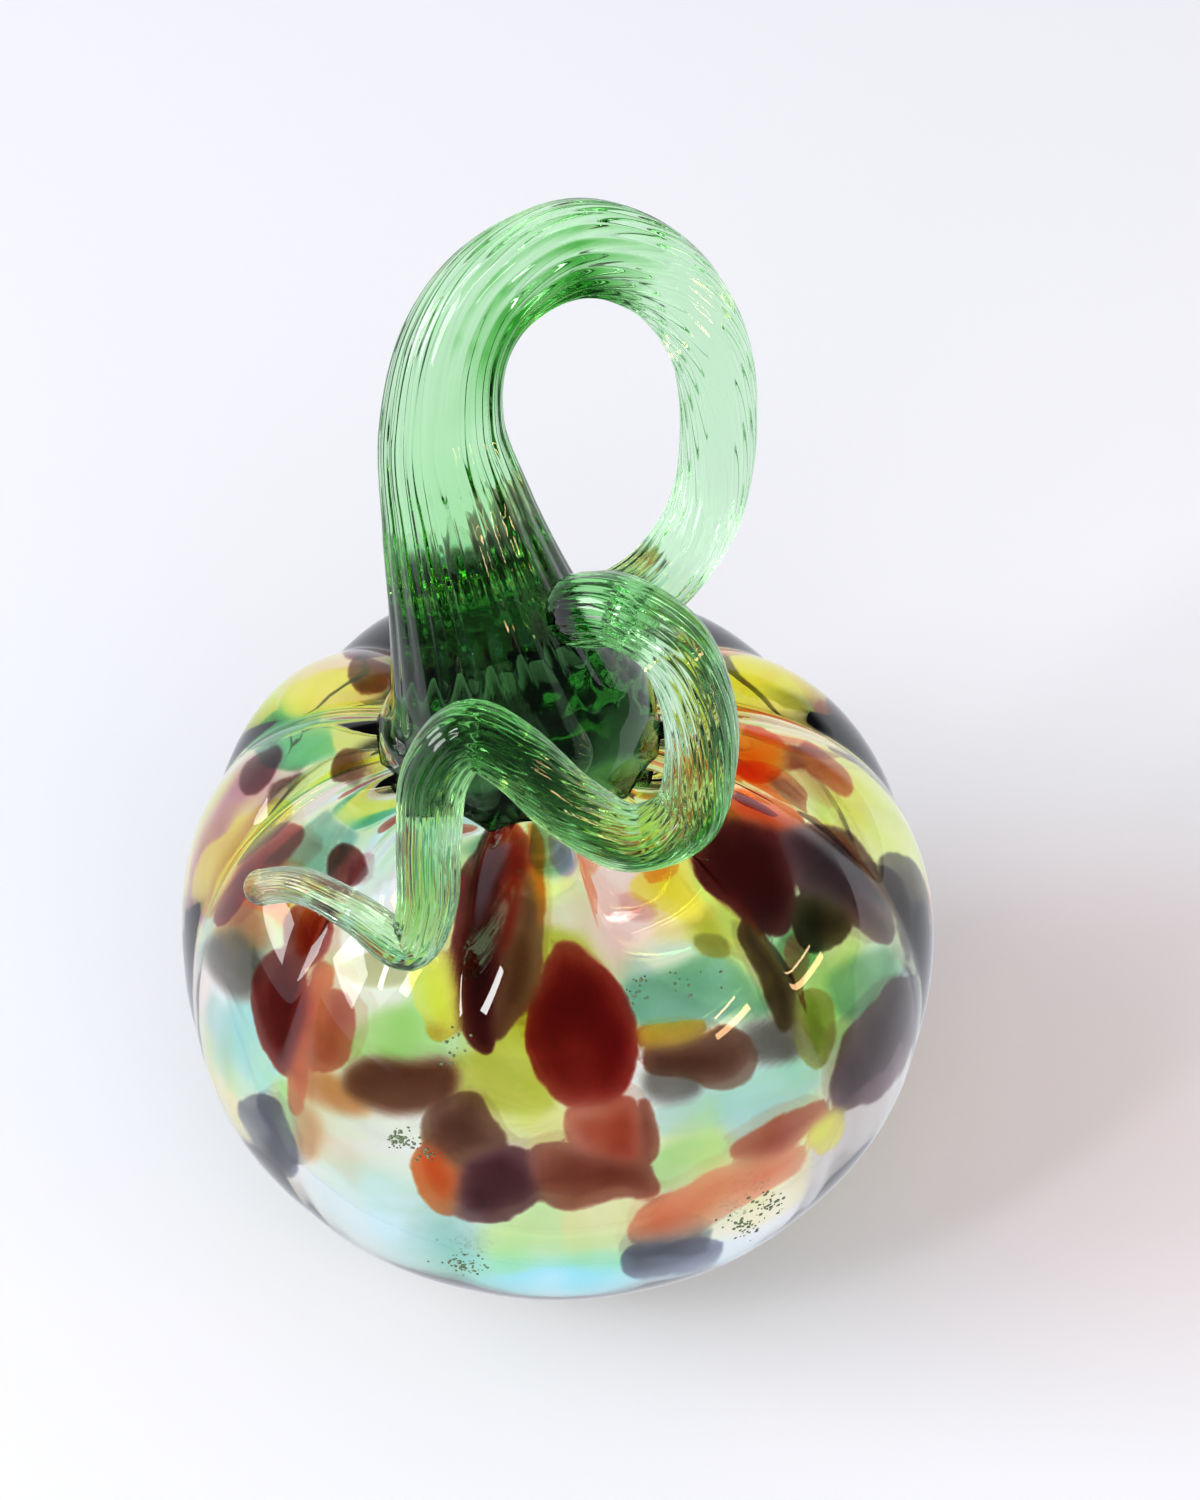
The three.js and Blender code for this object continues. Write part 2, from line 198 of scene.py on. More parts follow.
# Materials: scale and detail of a noise; strength of a bump, and its height in metres
GLASS_ROUGHNESS = 0.01
GLASS_INDEX = 1.5
BODY_WAVE = (60, 1)
BODY_BUMP = (0.05, 0.001)
FRIT_GRAIN = (280, 3)  # of the patches' uneven edges
FRIT_LENS = (70, 2)  # of their uneven thickness
STEM_WAVE = (120, 1)
STEM_BUMP = (0.06, 0.0005)
STEM_COLOUR = (0.1, 0.96, 0.06, 1)  # of the light that its depth lets through
STEM_DENSITY = 40
SPECK_COLOURS = ((0.05, 0.09, 0.045, 1), (0.2, 0.27, 0.15, 1))
SPECK_ROUGHNESS = 0.3
SPECK_GRAIN = (900, 2)
SPECK_BUMP = (0.2, 0.0001)

# Light that one wall of each coloured glass lets through, in linear red, green and blue
GLASS = {
    "maroon": (0.065, 0.008, 0.009),
    "ruby": (0.210, 0.013, 0.009),
    "red": (0.740, 0.130, 0.035),
    "garnet": (0.100, 0.032, 0.040),
    "mahogany": (0.130, 0.042, 0.022),
    "bark": (0.055, 0.032, 0.014),
    "brick": (0.300, 0.095, 0.065),
    "umber": (0.160, 0.068, 0.044),
    "brown": (0.310, 0.085, 0.055),
    "rust": (0.480, 0.110, 0.065),
    "copper": (0.640, 0.260, 0.100),
    "salmon": (0.840, 0.300, 0.170),
    "apricot": (0.800, 0.420, 0.240),
    "blush": (0.960, 0.820, 0.760),
    "violet": (0.600, 0.400, 0.750),
    "rose": (0.560, 0.260, 0.420),
    "orange": (0.850, 0.170, 0.010),
    "amber": (0.640, 0.380, 0.040),
    "yellow": (0.930, 0.900, 0.160),
    "citron": (0.600, 0.610, 0.100),
    "lemon": (0.900, 0.900, 0.400),
    "straw": (0.970, 0.920, 0.620),
    "pear": (0.880, 0.970, 0.580),
    "lime": (0.700, 0.960, 0.460),
    "mint": (0.560, 0.830, 0.380),
    "olive": (0.260, 0.250, 0.050),
    "forest": (0.034, 0.026, 0.010),
    "emerald": (0.060, 0.460, 0.230),
    "turquoise": (0.190, 0.430, 0.300),
    "aqua": (0.560, 0.800, 0.760),
    "ice": (0.820, 0.970, 1.000),
    "sky": (0.560, 0.920, 1.000),
    "navy": (0.070, 0.080, 0.130),
    "plum": (0.120, 0.065, 0.080),
    "smoke": (0.170, 0.150, 0.140),
    "slate": (0.085, 0.070, 0.080),
    "haze": (0.770, 0.730, 0.700),
    "clear": (0.970, 0.960, 0.950),
}
OUTER_PAINT = 1.7  # of the colour's two coats, the share that lies on the outside of the wall
SOFT_EDGE = 1.2  # millimetres over which a pale patch ends
FRIT_BLEND = 0.6  # millimetres over which two patches of frit that meet run into each other
# Colours whose patches are pale glass with soft edges; the others are frit
SOFT_COLOURS = (
    "citron", "lemon", "straw", "pear", "lime", "mint", "turquoise", "aqua", "ice", "sky", "smoke",
    "copper", "rose", "blush", "mahogany", "apricot",
)
LEAST_WEIGHT = 1e-9  # of frit where none is near, so that nothing is divided by 0

# Patches of colour on the side that the photograph shows: their outlines, read off an enlarged crop of it
CROP_CORNER = (150, 590)  # pixel of the photograph
CROP_SCALE = 0.5204  # pixels of the photograph to one of the crop
CORNER_CUTS = 2  # times that an outline's corners are cut
CUT = 0.25  # share of a side that is cut off at each end
PATCHES = [
    # Front, from the stem down
    ("maroon", (655, 455), (686, 455), (690, 560), (676, 660), (666, 770), (652, 872), (630, 880),
     (606, 826), (591, 740), (590, 650), (608, 560), (636, 500)),
    ("ruby", (672, 455), (716, 455), (716, 540), (706, 620), (690, 690), (672, 690), (672, 600),
     (680, 530)),
    ("umber", (700, 600), (728, 540), (746, 620), (750, 700), (738, 780), (700, 834), (656, 872),
     (668, 770), (680, 680)),
    ("orange", (724, 455), (742, 455), (748, 560), (746, 650), (735, 600)),
    ("violet", (768, 466), (802, 474), (820, 522), (796, 548), (774, 512)),
    ("blush", (785, 545), (830, 525), (900, 562), (990, 640), (1040, 690), (1000, 742), (930, 752),
     (880, 700), (800, 620)),
    ("ruby", (795, 678), (832, 700), (882, 740), (916, 790), (934, 850), (927, 924), (897, 974),
     (850, 992), (800, 988), (768, 958), (744, 902), (736, 850), (747, 786), (766, 726)),
    ("citron", (700, 834), (742, 770), (734, 870), (748, 930), (784, 986), (740, 1000), (660, 990),
     (600, 990), (574, 950), (580, 900), (618, 884), (660, 872)),
    ("lemon", (640, 985), (720, 995), (800, 990), (812, 1040), (790, 1085), (730, 1080), (684, 1050),
     (654, 1015)),
    ("rust", (800, 1000), (852, 994), (910, 974), (936, 985), (948, 1040), (944, 1094), (880, 1080),
     (820, 1078), (804, 1050)),
    ("brick", (734, 1076), (800, 1070), (880, 1084), (944, 1092), (964, 1130), (957, 1168), (890, 1174),
     (820, 1172), (750, 1164), (722, 1120)),
    ("garnet", (640, 1080), (700, 1072), (738, 1100), (758, 1150), (722, 1182), (672, 1204), (620, 1214),
     (586, 1192), (596, 1130)),
    ("umber", (526, 1012), (560, 983), (620, 973), (652, 1010), (684, 1060), (650, 1092), (600, 1104),
     (558, 1092), (526, 1062)),
    ("red", (502, 1080), (540, 1060), (572, 1095), (600, 1130), (590, 1194), (548, 1174), (512, 1132)),
    # Left
    ("mahogany", (392, 914), (440, 912), (520, 914), (578, 908), (580, 966), (560, 982), (500, 992),
     (450, 996), (408, 980), (380, 950)),
    ("copper", (272, 925), (340, 930), (384, 956), (420, 992), (400, 1006), (350, 980), (300, 962)),
    ("apricot", (284, 985), (312, 995), (330, 1040), (318, 1085), (296, 1092), (280, 1050)),
    ("apricot", (190, 520), (250, 510), (262, 560), (230, 600), (190, 600), (175, 560)),
    ("ruby", (245, 686), (282, 698), (302, 760), (302, 824), (286, 884), (264, 938), (233, 902),
     (210, 840), (203, 780), (214, 718)),
    # Red along the ruby's right edge: partly frit, partly a painted highlight
    ("red", (330, 716), (352, 732), (328, 790), (313, 850), (298, 920), (287, 1004), (273, 990),
     (279, 900), (294, 830), (310, 770)),
    ("rust", (346, 760), (376, 790), (377, 872), (365, 914), (308, 926), (314, 850), (330, 790)),
    ("ruby", (275, 606), (312, 602), (348, 640), (332, 702), (300, 724), (268, 692), (256, 650)),
    ("maroon", (364, 500), (397, 502), (410, 546), (396, 572), (348, 562), (348, 528)),
    ("ruby", (281, 456), (288, 482), (232, 534), (182, 584), (142, 644), (123, 622), (150, 570),
     (200, 508), (246, 466)),
    ("copper", (140, 644), (180, 602), (216, 640), (212, 692), (170, 682), (130, 666)),
    ("yellow", (160, 470), (230, 400), (282, 420), (240, 460), (180, 520), (130, 590), (98, 624),
     (93, 560), (118, 500)),
    ("rose", (242, 298), (254, 318), (205, 374), (158, 440), (118, 530), (90, 630), (76, 630), (88, 540),
     (122, 436), (172, 356)),
    ("maroon", (242, 298), (256, 316), (216, 366), (178, 396), (186, 344)),
    ("emerald", (200, 270), (240, 243), (312, 236), (322, 250), (262, 270), (214, 292), (182, 302)),
    ("yellow", (280, 190), (330, 160), (400, 150), (455, 180), (450, 210), (380, 216), (300, 240),
     (250, 240)),
    ("amber", (396, 184), (440, 182), (448, 206), (404, 210)),
    ("maroon", (372, 112), (420, 72), (466, 66), (466, 118), (410, 120)),
    ("umber", (363, 318), (402, 308), (418, 340), (396, 373), (362, 367)),
    ("yellow", (404, 318), (446, 316), (446, 348), (414, 350)),
    ("ice", (290, 470), (360, 420), (450, 390), (470, 430), (440, 500), (400, 520), (330, 540), (290, 520)),
    ("smoke", (108, 680), (160, 658), (202, 690), (217, 742), (190, 774), (148, 764), (118, 730)),
    ("aqua", (104, 800), (138, 790), (146, 880), (166, 950), (138, 930), (112, 870)),
    ("sky", (150, 790), (200, 778), (242, 860), (242, 932), (206, 978), (175, 962), (154, 880)),
    ("navy", (172, 990), (230, 978), (257, 1030), (278, 1092), (264, 1134), (224, 1098), (188, 1042)),
    ("lime", (240, 948), (263, 950), (276, 1010), (270, 1064), (250, 1022)),
    ("mint", (365, 880), (400, 830), (500, 800), (570, 850), (576, 908), (440, 914), (368, 910)),
    ("yellow", (505, 720), (580, 690), (592, 760), (600, 830), (572, 860), (520, 810)),
    ("amber", (536, 830), (572, 822), (582, 852), (546, 864)),
    ("ice", (280, 1105), (380, 1105), (480, 1130), (560, 1190), (580, 1230), (520, 1265), (440, 1255),
     (350, 1200)),
    # Behind the stem
    ("maroon", (455, 70), (520, 40), (600, 30), (640, 60), (630, 130), (560, 160), (470, 150)),
    ("navy", (640, 40), (720, 25), (820, 25), (900, 40), (880, 100), (780, 130), (660, 120)),
    # Low
    ("straw", (690, 1205), (800, 1180), (924, 1178), (932, 1222), (830, 1232), (700, 1228)),
    ("pear", (610, 1232), (720, 1226), (830, 1232), (910, 1240), (850, 1274), (740, 1288), (630, 1274)),
    ("sky", (630, 1295), (760, 1290), (900, 1275), (924, 1302), (860, 1340), (740, 1350), (650, 1332)),
    ("navy", (923, 1268), (1000, 1256), (1092, 1247), (1088, 1288), (1000, 1314), (928, 1318), (915, 1290)),
    ("salmon", (922, 1222), (958, 1180), (1040, 1148), (1130, 1108), (1212, 1076), (1264, 1078),
     (1247, 1112), (1180, 1152), (1100, 1203), (1020, 1243), (950, 1258), (922, 1248)),
    ("rust", (1112, 1084), (1180, 1038), (1270, 998), (1303, 982), (1298, 1022), (1230, 1064),
     (1150, 1094)),
    ("brick", (945, 985), (966, 985), (972, 1050), (964, 1095), (948, 1090)),
    ("mint", (975, 1085), (1060, 1050), (1130, 1050), (1108, 1092), (1040, 1132), (962, 1154), (950, 1112)),
    ("yellow", (1268, 1044), (1310, 1010), (1334, 998), (1322, 1052), (1280, 1089)),
    # Right
    ("aqua", (1000, 990), (1080, 950), (1200, 908), (1284, 908), (1288, 962), (1200, 1002), (1100, 1032),
     (1000, 1054), (972, 1020)),
    ("umber", (956, 880), (1040, 868), (1112, 846), (1154, 880), (1143, 944), (1080, 964), (1040, 930),
     (958, 924)),
    ("smoke", (963, 924), (1000, 912), (1050, 930), (1052, 972), (1000, 988), (963, 962)),
    ("smoke", (1150, 838), (1240, 818), (1263, 872), (1240, 904), (1160, 904), (1138, 872)),
    ("bark", (1126, 636), (1162, 648), (1203, 708), (1235, 770), (1244, 834), (1214, 844), (1186, 780),
     (1156, 710)),
    ("turquoise", (925, 752), (1000, 742), (1080, 690), (1124, 720), (1172, 780), (1183, 812), (1110, 824),
     (1020, 834), (948, 834), (918, 790)),
    ("amber", (940, 836), (1030, 826), (1064, 838), (1000, 868), (946, 876)),
    ("olive", (1043, 668), (1092, 662), (1108, 702), (1074, 704)),
    ("yellow", (925, 560), (990, 535), (1044, 590), (1066, 634), (1000, 624), (958, 600)),
    ("lime", (1056, 515), (1092, 558), (1142, 640), (1184, 734), (1150, 704), (1098, 630), (1056, 570)),
    ("maroon", (1044, 500), (1088, 440), (1140, 424), (1190, 452), (1218, 500), (1230, 560), (1230, 622),
     (1212, 660), (1168, 642), (1116, 602), (1076, 556)),
    # Red over the top of the maroon: partly frit, partly a painted highlight
    ("red", (1090, 436), (1128, 386), (1200, 406), (1264, 448), (1240, 478), (1184, 456), (1124, 440)),
    ("plum", (1200, 476), (1270, 456), (1342, 478), (1394, 530), (1424, 600), (1434, 664), (1390, 664),
     (1318, 622), (1236, 566)),
    ("forest", (1238, 600), (1290, 588), (1334, 620), (1328, 674), (1280, 694), (1243, 662)),
    ("mint", (1225, 690), (1300, 690), (1312, 760), (1290, 800), (1246, 790)),
    ("turquoise", (1300, 740), (1370, 700), (1432, 676), (1448, 740), (1400, 792), (1340, 834),
     (1308, 800)),
    ("olive", (1253, 776), (1292, 778), (1308, 830), (1303, 892), (1274, 918), (1252, 870)),
    ("plum", (1442, 746), (1478, 760), (1473, 830), (1453, 902), (1402, 963), (1350, 993), (1315, 977),
     (1322, 910), (1348, 850), (1394, 798)),
    ("slate", (1408, 510), (1452, 518), (1488, 580), (1504, 680), (1498, 744), (1476, 740), (1460, 680),
     (1442, 610)),
    ("straw", (1240, 300), (1330, 288), (1424, 400), (1474, 500), (1420, 512), (1368, 470), (1318, 420),
     (1280, 380)),
    ("orange", (1122, 290), (1170, 272), (1219, 308), (1213, 352), (1150, 368), (1122, 340)),
    ("brown", (1212, 308), (1252, 312), (1254, 346), (1216, 346)),
    ("rust", (1250, 288), (1284, 308), (1344, 370), (1333, 398), (1278, 372), (1253, 330)),
    ("blush", (1132, 212), (1200, 223), (1290, 248), (1343, 280), (1330, 292), (1260, 264), (1180, 244)),
    ("yellow", (1060, 100), (1150, 88), (1240, 128), (1302, 190), (1250, 197), (1150, 207), (1110, 180),
     (1088, 130)),
    ("olive", (1163, 187), (1230, 187), (1293, 213), (1282, 228), (1200, 208)),
    ("slate", (1308, 218), (1348, 234), (1342, 253), (1313, 247)),
    ("navy", (1026, 42), (1060, 22), (1112, 44), (1124, 64), (1060, 71), (1026, 62)),
]
PIXELS_PER_MM = 7.5  # in the photograph, at the body
PAST_THE_RIM = 30  # millimetres by which an outline draws in, to a cosine of the angle past the rim
EDGE_WOBBLE = 3  # pixels by which an outline wanders
EDGE_WAVE = 9  # millimetres from one such bend to the next
EDGE_SEEDS = (1, 2)
PATCH_GROWTH = 0.6  # millimetres by which a patch is larger than its outline
CHIP_SQUARENESS = 2.5  # of the chips at the back: 2 is an oval, more is nearer to a rectangle
CHIP_WOBBLE = 0.8  # millimetres by which their edges wander
CHIP_REACH = 6  # millimetres outside a patch beyond which it no longer counts
FRIT_EDGE = 0.3  # millimetres over which a patch ends
FRIT_ROUGHNESS = 0.6  # millimetres by which its edge is uneven
THICKNESS = (0.8, 1.2)  # of a patch at its edge and inside, where 1 lets through its colour as it is written
FULL_FROM = 3.5  # millimetres inside the edge from where it has all of it
UNEVEN_FRIT = 0.7  # how much its thickness varies besides: 0 is even
PALE_UNDER_FRIT = 0.3  # share of the pale colours that is left where a patch lies over them
MOTTLE = 0.12  # share by which the strength of a pale patch varies
MOTTLE_SIZE = 6  # millimetres
MOTTLE_SEED = 3
STREAKS = 0.35  # share by which that of the pale fields varies in streaks from the stem to the base
STREAK_WIDTH = 6  # millimetres from one to the next
STREAK_LENGTH = 10  # times their width
STREAK_SEED = 8
OVERLAP = 2.5  # 1 would add up the colours of pale patches that overlap, more lets the darkest rule
BASE_STRENGTH = 0.25  # of the colours under the object, where the glass is clearer
BASE_FADE = (-58, -32)  # levels, in degrees below the belly, between which they fade
CHIP_GLASS = {"rose": "blush"}  # CAD colours that have another name here
BACK_FROM = 105  # degrees from the front beyond which patches and fields are drawn at random
HIDDEN_FROM = -0.2  # cosine between the wall and the view below which the photograph doesn't show the wall

# Patches drawn at random on that side, besides the CAD's own
BACK_PATCHES = 38
BACK_SEED = 33
BACK_PATCH_COLOURS = (
    "ruby", "brown", "orange", "rust", "amber", "emerald", "turquoise", "blush", "mint", "olive", "salmon",
)
BACK_BAND = (0.16, 0.66)  # shares of the way from the base to the neck between which they lie
BACK_SIZE = ((2.5, 4), (6, 9.5))  # least and most of half their width and height, in millimetres
BACK_LEAN = 0.4  # radians by which they lean to a side

# Painted shade on the crown under and behind the stem's foot: a dark colour, partly dark frit, that darkens
# the foot and the lower trunk seen over it; in millimetres: place, and the distances from it between which it
# fades
PAINTED_FOOT_SHADE = (0.03, 0.04, 0.02)
PAINTED_SHADE_DISCS = [(-4.5, 0, 12.5, 16), (-7, 16, 10, 16)]
PAINTED_SHADE_GAP = (4, -7, 3, 7)  # the paler place in it, likewise

# Pale colours that fill the wall between the patches, each round a pixel of the photograph
FIELDS = {
    "straw": [(352, 656), (203, 902), (260, 941), (212, 1075), (545, 880), (545, 1136), (790, 1180),
        (769, 721), (786, 784)],
    "blush": [(340, 668), (198, 985), (337, 1153), (566, 902), (622, 915)],
    "lemon": [(329, 696), (237, 833), (272, 918), (620, 812), (519, 1114), (597, 1226), (690, 1155),
        (854, 811), (740, 682)],
    "pear": [(318, 744), (281, 781), (882, 832), (733, 648)],
    "clear": [(359, 804), (374, 978), (337, 1124), (390, 1130), (330, 1180), (590, 872), (521, 1143),
        (640, 1095), (760, 1235)],
    "ice": [(340, 845), (372, 831), (235, 1000), (250, 1040), (386, 1209), (700, 1274)],
    "mint": [(400, 1040), (826, 968)],
    "aqua": [(442, 1236), (690, 962), (760, 1100), (885, 968)],
    "citron": [(548, 954), (701, 927)],
    "lime": [(507, 1243), (545, 1240)],
    "sky": [(556, 1276)],
    "yellow": [(684, 891)],
    "haze": [(852, 1124), (842, 1155)],
}
BACK_FIELDS = 36  # drawn at random on the side that it doesn't show
FIELD_SEED = 11
BACK_FIELD_COLOURS = ("lemon", "pear", "aqua", "straw", "lime", "blush", "clear", "ice")
FIELD_BAND = (0.1, 0.95)  # shares of the way from the base to the neck between which these lie
FIELD_EDGE = 7  # how firmly the nearest field rules: more gives crisper borders
FIELD_CORE = 0.5  # millimetres added to each distance, so that none is 0
FIELD_WOBBLE = 1.5  # millimetres by which the borders wander
FIELD_WAVE = 18  # millimetres from one such bend to the next
FIELD_SEEDS = (4, 5, 6)

# Clusters of dark specks in the wall: a pixel of the photograph, spread in pixels across and down, number
SPECKS = [
    (639, 991, 7, 9, 14),
    (691, 983, 16, 9, 12),
    (452, 1045, 7, 10, 12),
    (400, 1139, 7, 5, 60),
    (426, 1152, 6, 4, 20),
    (741, 1226, 9, 6, 50),
    (769, 1204, 9, 6, 50),
    (462, 1264, 12, 6, 60),
]
SPECK_SEED = 5
SPECK_DEPTH = 0.08
SPECK_RADIUS = (0.1, 0.26)
SPECK_STRETCH = ((0.7, 1.6), (0.7, 1.3))  # least and most, along and across


def smoothstep(low, high, value):
    share = np.clip((value - low) / (high - low), 0, 1)
    return share * share * (3 - 2 * share)


def ripple(points, wavelength, seed):
    """A smooth random field of about -1 to 1: seeded plane waves added up."""
    draw = np.random.default_rng(seed)
    total = np.zeros(len(points))
    for _ in range(RIPPLE_WAVES):
        direction = draw.normal(size=3)
        direction /= np.linalg.norm(direction)
        length = wavelength * draw.uniform(*RIPPLE_LENGTHS)
        total += np.sin(points @ direction * 2 * math.pi / length + draw.uniform(0, 2 * math.pi))
    return total / math.sqrt(RIPPLE_WAVES)


# Body

body_low, body_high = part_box("outer_casing")
BODY_RADIUS = (body_high.y - body_low.y) / 2 / MM


def profile(level, inset):
    """Radius, height and outward normal (out, up) of the plain wall at a level in radians from the belly."""
    power = np.where(level > 0, CROWN_POWER, BASE_POWER)
    curve = np.where(level > 0, CROWN_RISE, BASE_DROP)
    across = np.cos(level)
    upward = np.abs(np.sin(level))
    side = np.sign(level)
    radius = (BODY_RADIUS - inset) * across ** (2 / power)
    dimple = np.where(level > 0, DIMPLE_DEPTH * np.exp(-((radius / DIMPLE_REACH) ** 2)), 0)
    height = BELLY_HEIGHT + side * (curve - inset) * upward ** (2 / power) - dimple
    out = across ** (2 - 2 / power) / BODY_RADIUS
    up = side * upward ** (2 - 2 / power) / curve
    length = np.hypot(out, up)
    return radius, height, out / length, up / length


def base_level(inset):
    return -math.asin(((BELLY_HEIGHT - inset) / (BASE_DROP - inset)) ** (BASE_POWER / 2))


def neck_level(inset):
    return math.acos((NECK_RADIUS / (BODY_RADIUS - inset)) ** (CROWN_POWER / 2))


def profile_line(inset):
    """Levels from the base to the neck, and how far along the wall each lies."""
    levels = np.linspace(base_level(inset), neck_level(inset), PROFILE_SAMPLES)
    radius, height, _, _ = profile(levels, inset)
    steps = np.hypot(np.diff(radius), np.diff(height))
    return levels, np.concatenate([[0], np.cumsum(steps)])


def furrow_depth(level, radius):
    on_crown = FURROW_AT_BELLY + (FURROW_ON_CROWN - FURROW_AT_BELLY) * np.sin(level)
    on_crown = on_crown * smoothstep(FURROW_START, FURROW_FULL, radius)
    below = FURROW_AT_BELLY * np.clip(1 - level / base_level(0), 0, 1) ** 2
    return np.where(level > 0, on_crown, below)


def crown_lean(height):
    return CROWN_LEAN * np.clip((height - BELLY_HEIGHT) / (CROWN_RISE - DIMPLE_DEPTH), 0, 1) ** 2


def lobed_wall(level, turn, inset, relief=1):
    """Points of the lobed wall. Turn 0 is the front, and a quarter turn is +X."""
    radius, height, out, up = profile(level, inset)
    crease = 1 - np.sqrt(np.cos(LOBES / 2 * turn) ** 2 + FURROW_ROUND**2)
    depth = relief * furrow_depth(level, radius) * crease
    radius = radius - depth * out
    height = height - depth * up
    return np.stack([radius * np.sin(turn) + crown_lean(height), -radius * np.cos(turn), height], axis=-1)


def wall_grid(inset, rows, columns, relief):
    """Levels, turns and points of one surface: base rings from the middle, then wall rows up to the neck."""
    levels, along = profile_line(inset)
    level = np.interp(np.linspace(0, along[-1], rows), along, levels)
    turn = np.arange(LOBES * columns) * 2 * math.pi / (LOBES * columns)
    level, turn = np.meshgrid(level, turn, indexing="ij")
    wall = lobed_wall(level, turn, inset, relief)
    share = np.arange(1, BASE_RINGS)[:, None, None] / BASE_RINGS
    base = wall[:1] * np.array([1, 1, 0]) * share
    base[..., 2] = inset + PUNT * (1 - share[..., 0] ** 2)
    base_levels = np.repeat(level[:1], BASE_RINGS - 1, axis=0)
    base_turns = np.repeat(turn[:1], BASE_RINGS - 1, axis=0)
    return (
        np.concatenate([base_levels, level]),
        np.concatenate([base_turns, turn]),
        np.concatenate([base, wall]),
    )


def ring_quads(rings, columns):
    """Quads between neighbouring closed rings of points."""
    first = np.arange(rings - 1)[:, None] * columns
    here = np.arange(columns)
    after = (here + 1) % columns
    quads = [first + here, first + after, first + columns + after, first + columns + here]
    return np.stack(quads, axis=-1).reshape(-1, 4).tolist()


def pole_fan(pole, ring_start, columns, flipped):
    """Triangles from one point to a closed ring."""
    fan = []
    for here in range(columns):
        after = (here + 1) % columns
        pair = (ring_start + after, ring_start + here) if flipped else (ring_start + here, ring_start + after)
        fan.append((pole, *pair))
    return fan


def new_piece(name, points, faces):
    """A smooth mesh object from points in millimetres."""
    mesh = bpy.data.meshes.new(name)
    mesh.from_pydata((points * MM).tolist(), [], faces)
    mesh.shade_smooth()
    piece = bpy.data.objects.new(name, mesh)
    bpy.context.scene.collection.objects.link(piece)
    return piece


def node_points(node):
    """A CAD node's points in millimetres."""
    mesh = node.data
    points = np.empty(len(mesh.vertices) * 3)
    mesh.vertices.foreach_get("co", points)
    return points.reshape(-1, 3) / MM


# Colour in the wall

wall_levels, wall_along = profile_line(0)


def wrapped(turn):
    return (turn + math.pi) % (2 * math.pi) - math.pi


def wall_point(turn, along):
    return lobed_wall(np.interp(along, wall_along, wall_levels), turn, 0)


def surface_place(points, inset):
    """Turn and way along the wall of points that lie about inset under the outside."""
    x = points[:, 0] - crown_lean(points[:, 2])
    turn = np.arctan2(x, -points[:, 1])
    radius, height, _, _ = profile(wall_levels, inset)
    out = np.hypot(x, points[:, 1])[:, None] - radius
    up = points[:, 2][:, None] - height
    return turn, wall_along[np.argmin(out**2 + up**2, axis=1)]


def flattened(turn, along, middle_turn, middle_along):
    """Places on the wall as millimetres to the right and up from a middle."""
    radius, _, _, _ = profile(np.interp(middle_along, wall_along, wall_levels), 0)
    return np.stack([wrapped(turn - middle_turn) * radius, along - middle_along], axis=-1)


def seen_pixels(points):
    """Pixels of the photograph at which points lie."""
    pitch = (math.sin(CAMERA_PITCH), math.cos(CAMERA_PITCH))
    right, forward, height = (points - CAMERA_PLACE).T
    up = forward * pitch[1] + height * pitch[0]
    away = forward * pitch[0] - height * pitch[1]
    x = PHOTO_WIDTH / 2 + FOCAL_PIXELS * right / away
    y = PHOTO_HEIGHT / 2 - FOCAL_PIXELS * up / away
    return np.stack([x, y], axis=-1)


def facing(points, level, turn):
    """Cosine of the angle between the plain wall and the view."""
    _, _, out, up = profile(level, 0)
    normal = np.stack([out * np.sin(turn), -out * np.cos(turn), up], axis=-1)
    view = CAMERA_PLACE - points
    return np.sum(normal * view, axis=-1) / np.linalg.norm(view, axis=-1)


def seen_place(tree, x, y):
    """Turn and way along the wall of what the camera sees at a pixel, or of the rim beside it."""
    ray = Vector(((x - PHOTO_WIDTH / 2) / FOCAL_PIXELS, (PHOTO_HEIGHT / 2 - y) / FOCAL_PIXELS, -1))
    ray.rotate(Euler((CAMERA_PITCH, 0, 0)))
    ray.normalize()
    eye = Vector(CAMERA_PLACE)
    hit, _, _, _ = tree.ray_cast(eye, ray)
    if hit is None:
        closest = eye + ray * (Vector((0, 0, BELLY_HEIGHT)) - eye).dot(ray)
        hit, _, _, _ = tree.find_nearest(closest)
    turn, along = surface_place(np.array([hit]), 0)
    return turn[0], along[0]


def rounded(corners):
    """An outline of the crop as pixels of the photograph, with its corners cut to a curve."""
    outline = np.array(CROP_CORNER) + CROP_SCALE * np.array(corners)
    for _ in range(CORNER_CUTS):
        after = np.roll(outline, -1, axis=0)
        pairs = [(1 - CUT) * outline + CUT * after, CUT * outline + (1 - CUT) * after]
        outline = np.stack(pairs, axis=1).reshape(-1, 2)
    return outline


def inside_by(outline, pixels):
    """How far pixels lie inside an outline, below 0 outside."""
    x, y = pixels.T
    nearest = np.full(len(x), np.inf)
    inside = np.zeros(len(x), bool)
    for (x_one, y_one), (x_two, y_two) in zip(outline, np.roll(outline, -1, axis=0)):
        across, down = x_two - x_one, y_two - y_one
        share = np.clip(((x - x_one) * across + (y - y_one) * down) / (across**2 + down**2), 0, 1)
        nearest = np.minimum(nearest, np.hypot(x - x_one - share * across, y - y_one - share * down))
        if down:
            inside ^= ((y_one > y) != (y_two > y)) & (x < x_one + across * (y - y_one) / down)
    return np.where(inside, nearest, -nearest)


def outline_depth(corners, pixels, past_rim):
    """Millimetres by which places on the wall lie inside an outline of the photograph."""
    outline = rounded(corners)
    margin = CHIP_REACH * PIXELS_PER_MM
    near = np.all((pixels > outline.min(axis=0) - margin) & (pixels < outline.max(axis=0) + margin), axis=1)
    near &= past_rim < CHIP_REACH
    depth = np.full(len(pixels), -float(CHIP_REACH))
    depth[near] = inside_by(outline, pixels[near]) / PIXELS_PER_MM - past_rim[near] + PATCH_GROWTH
    return depth


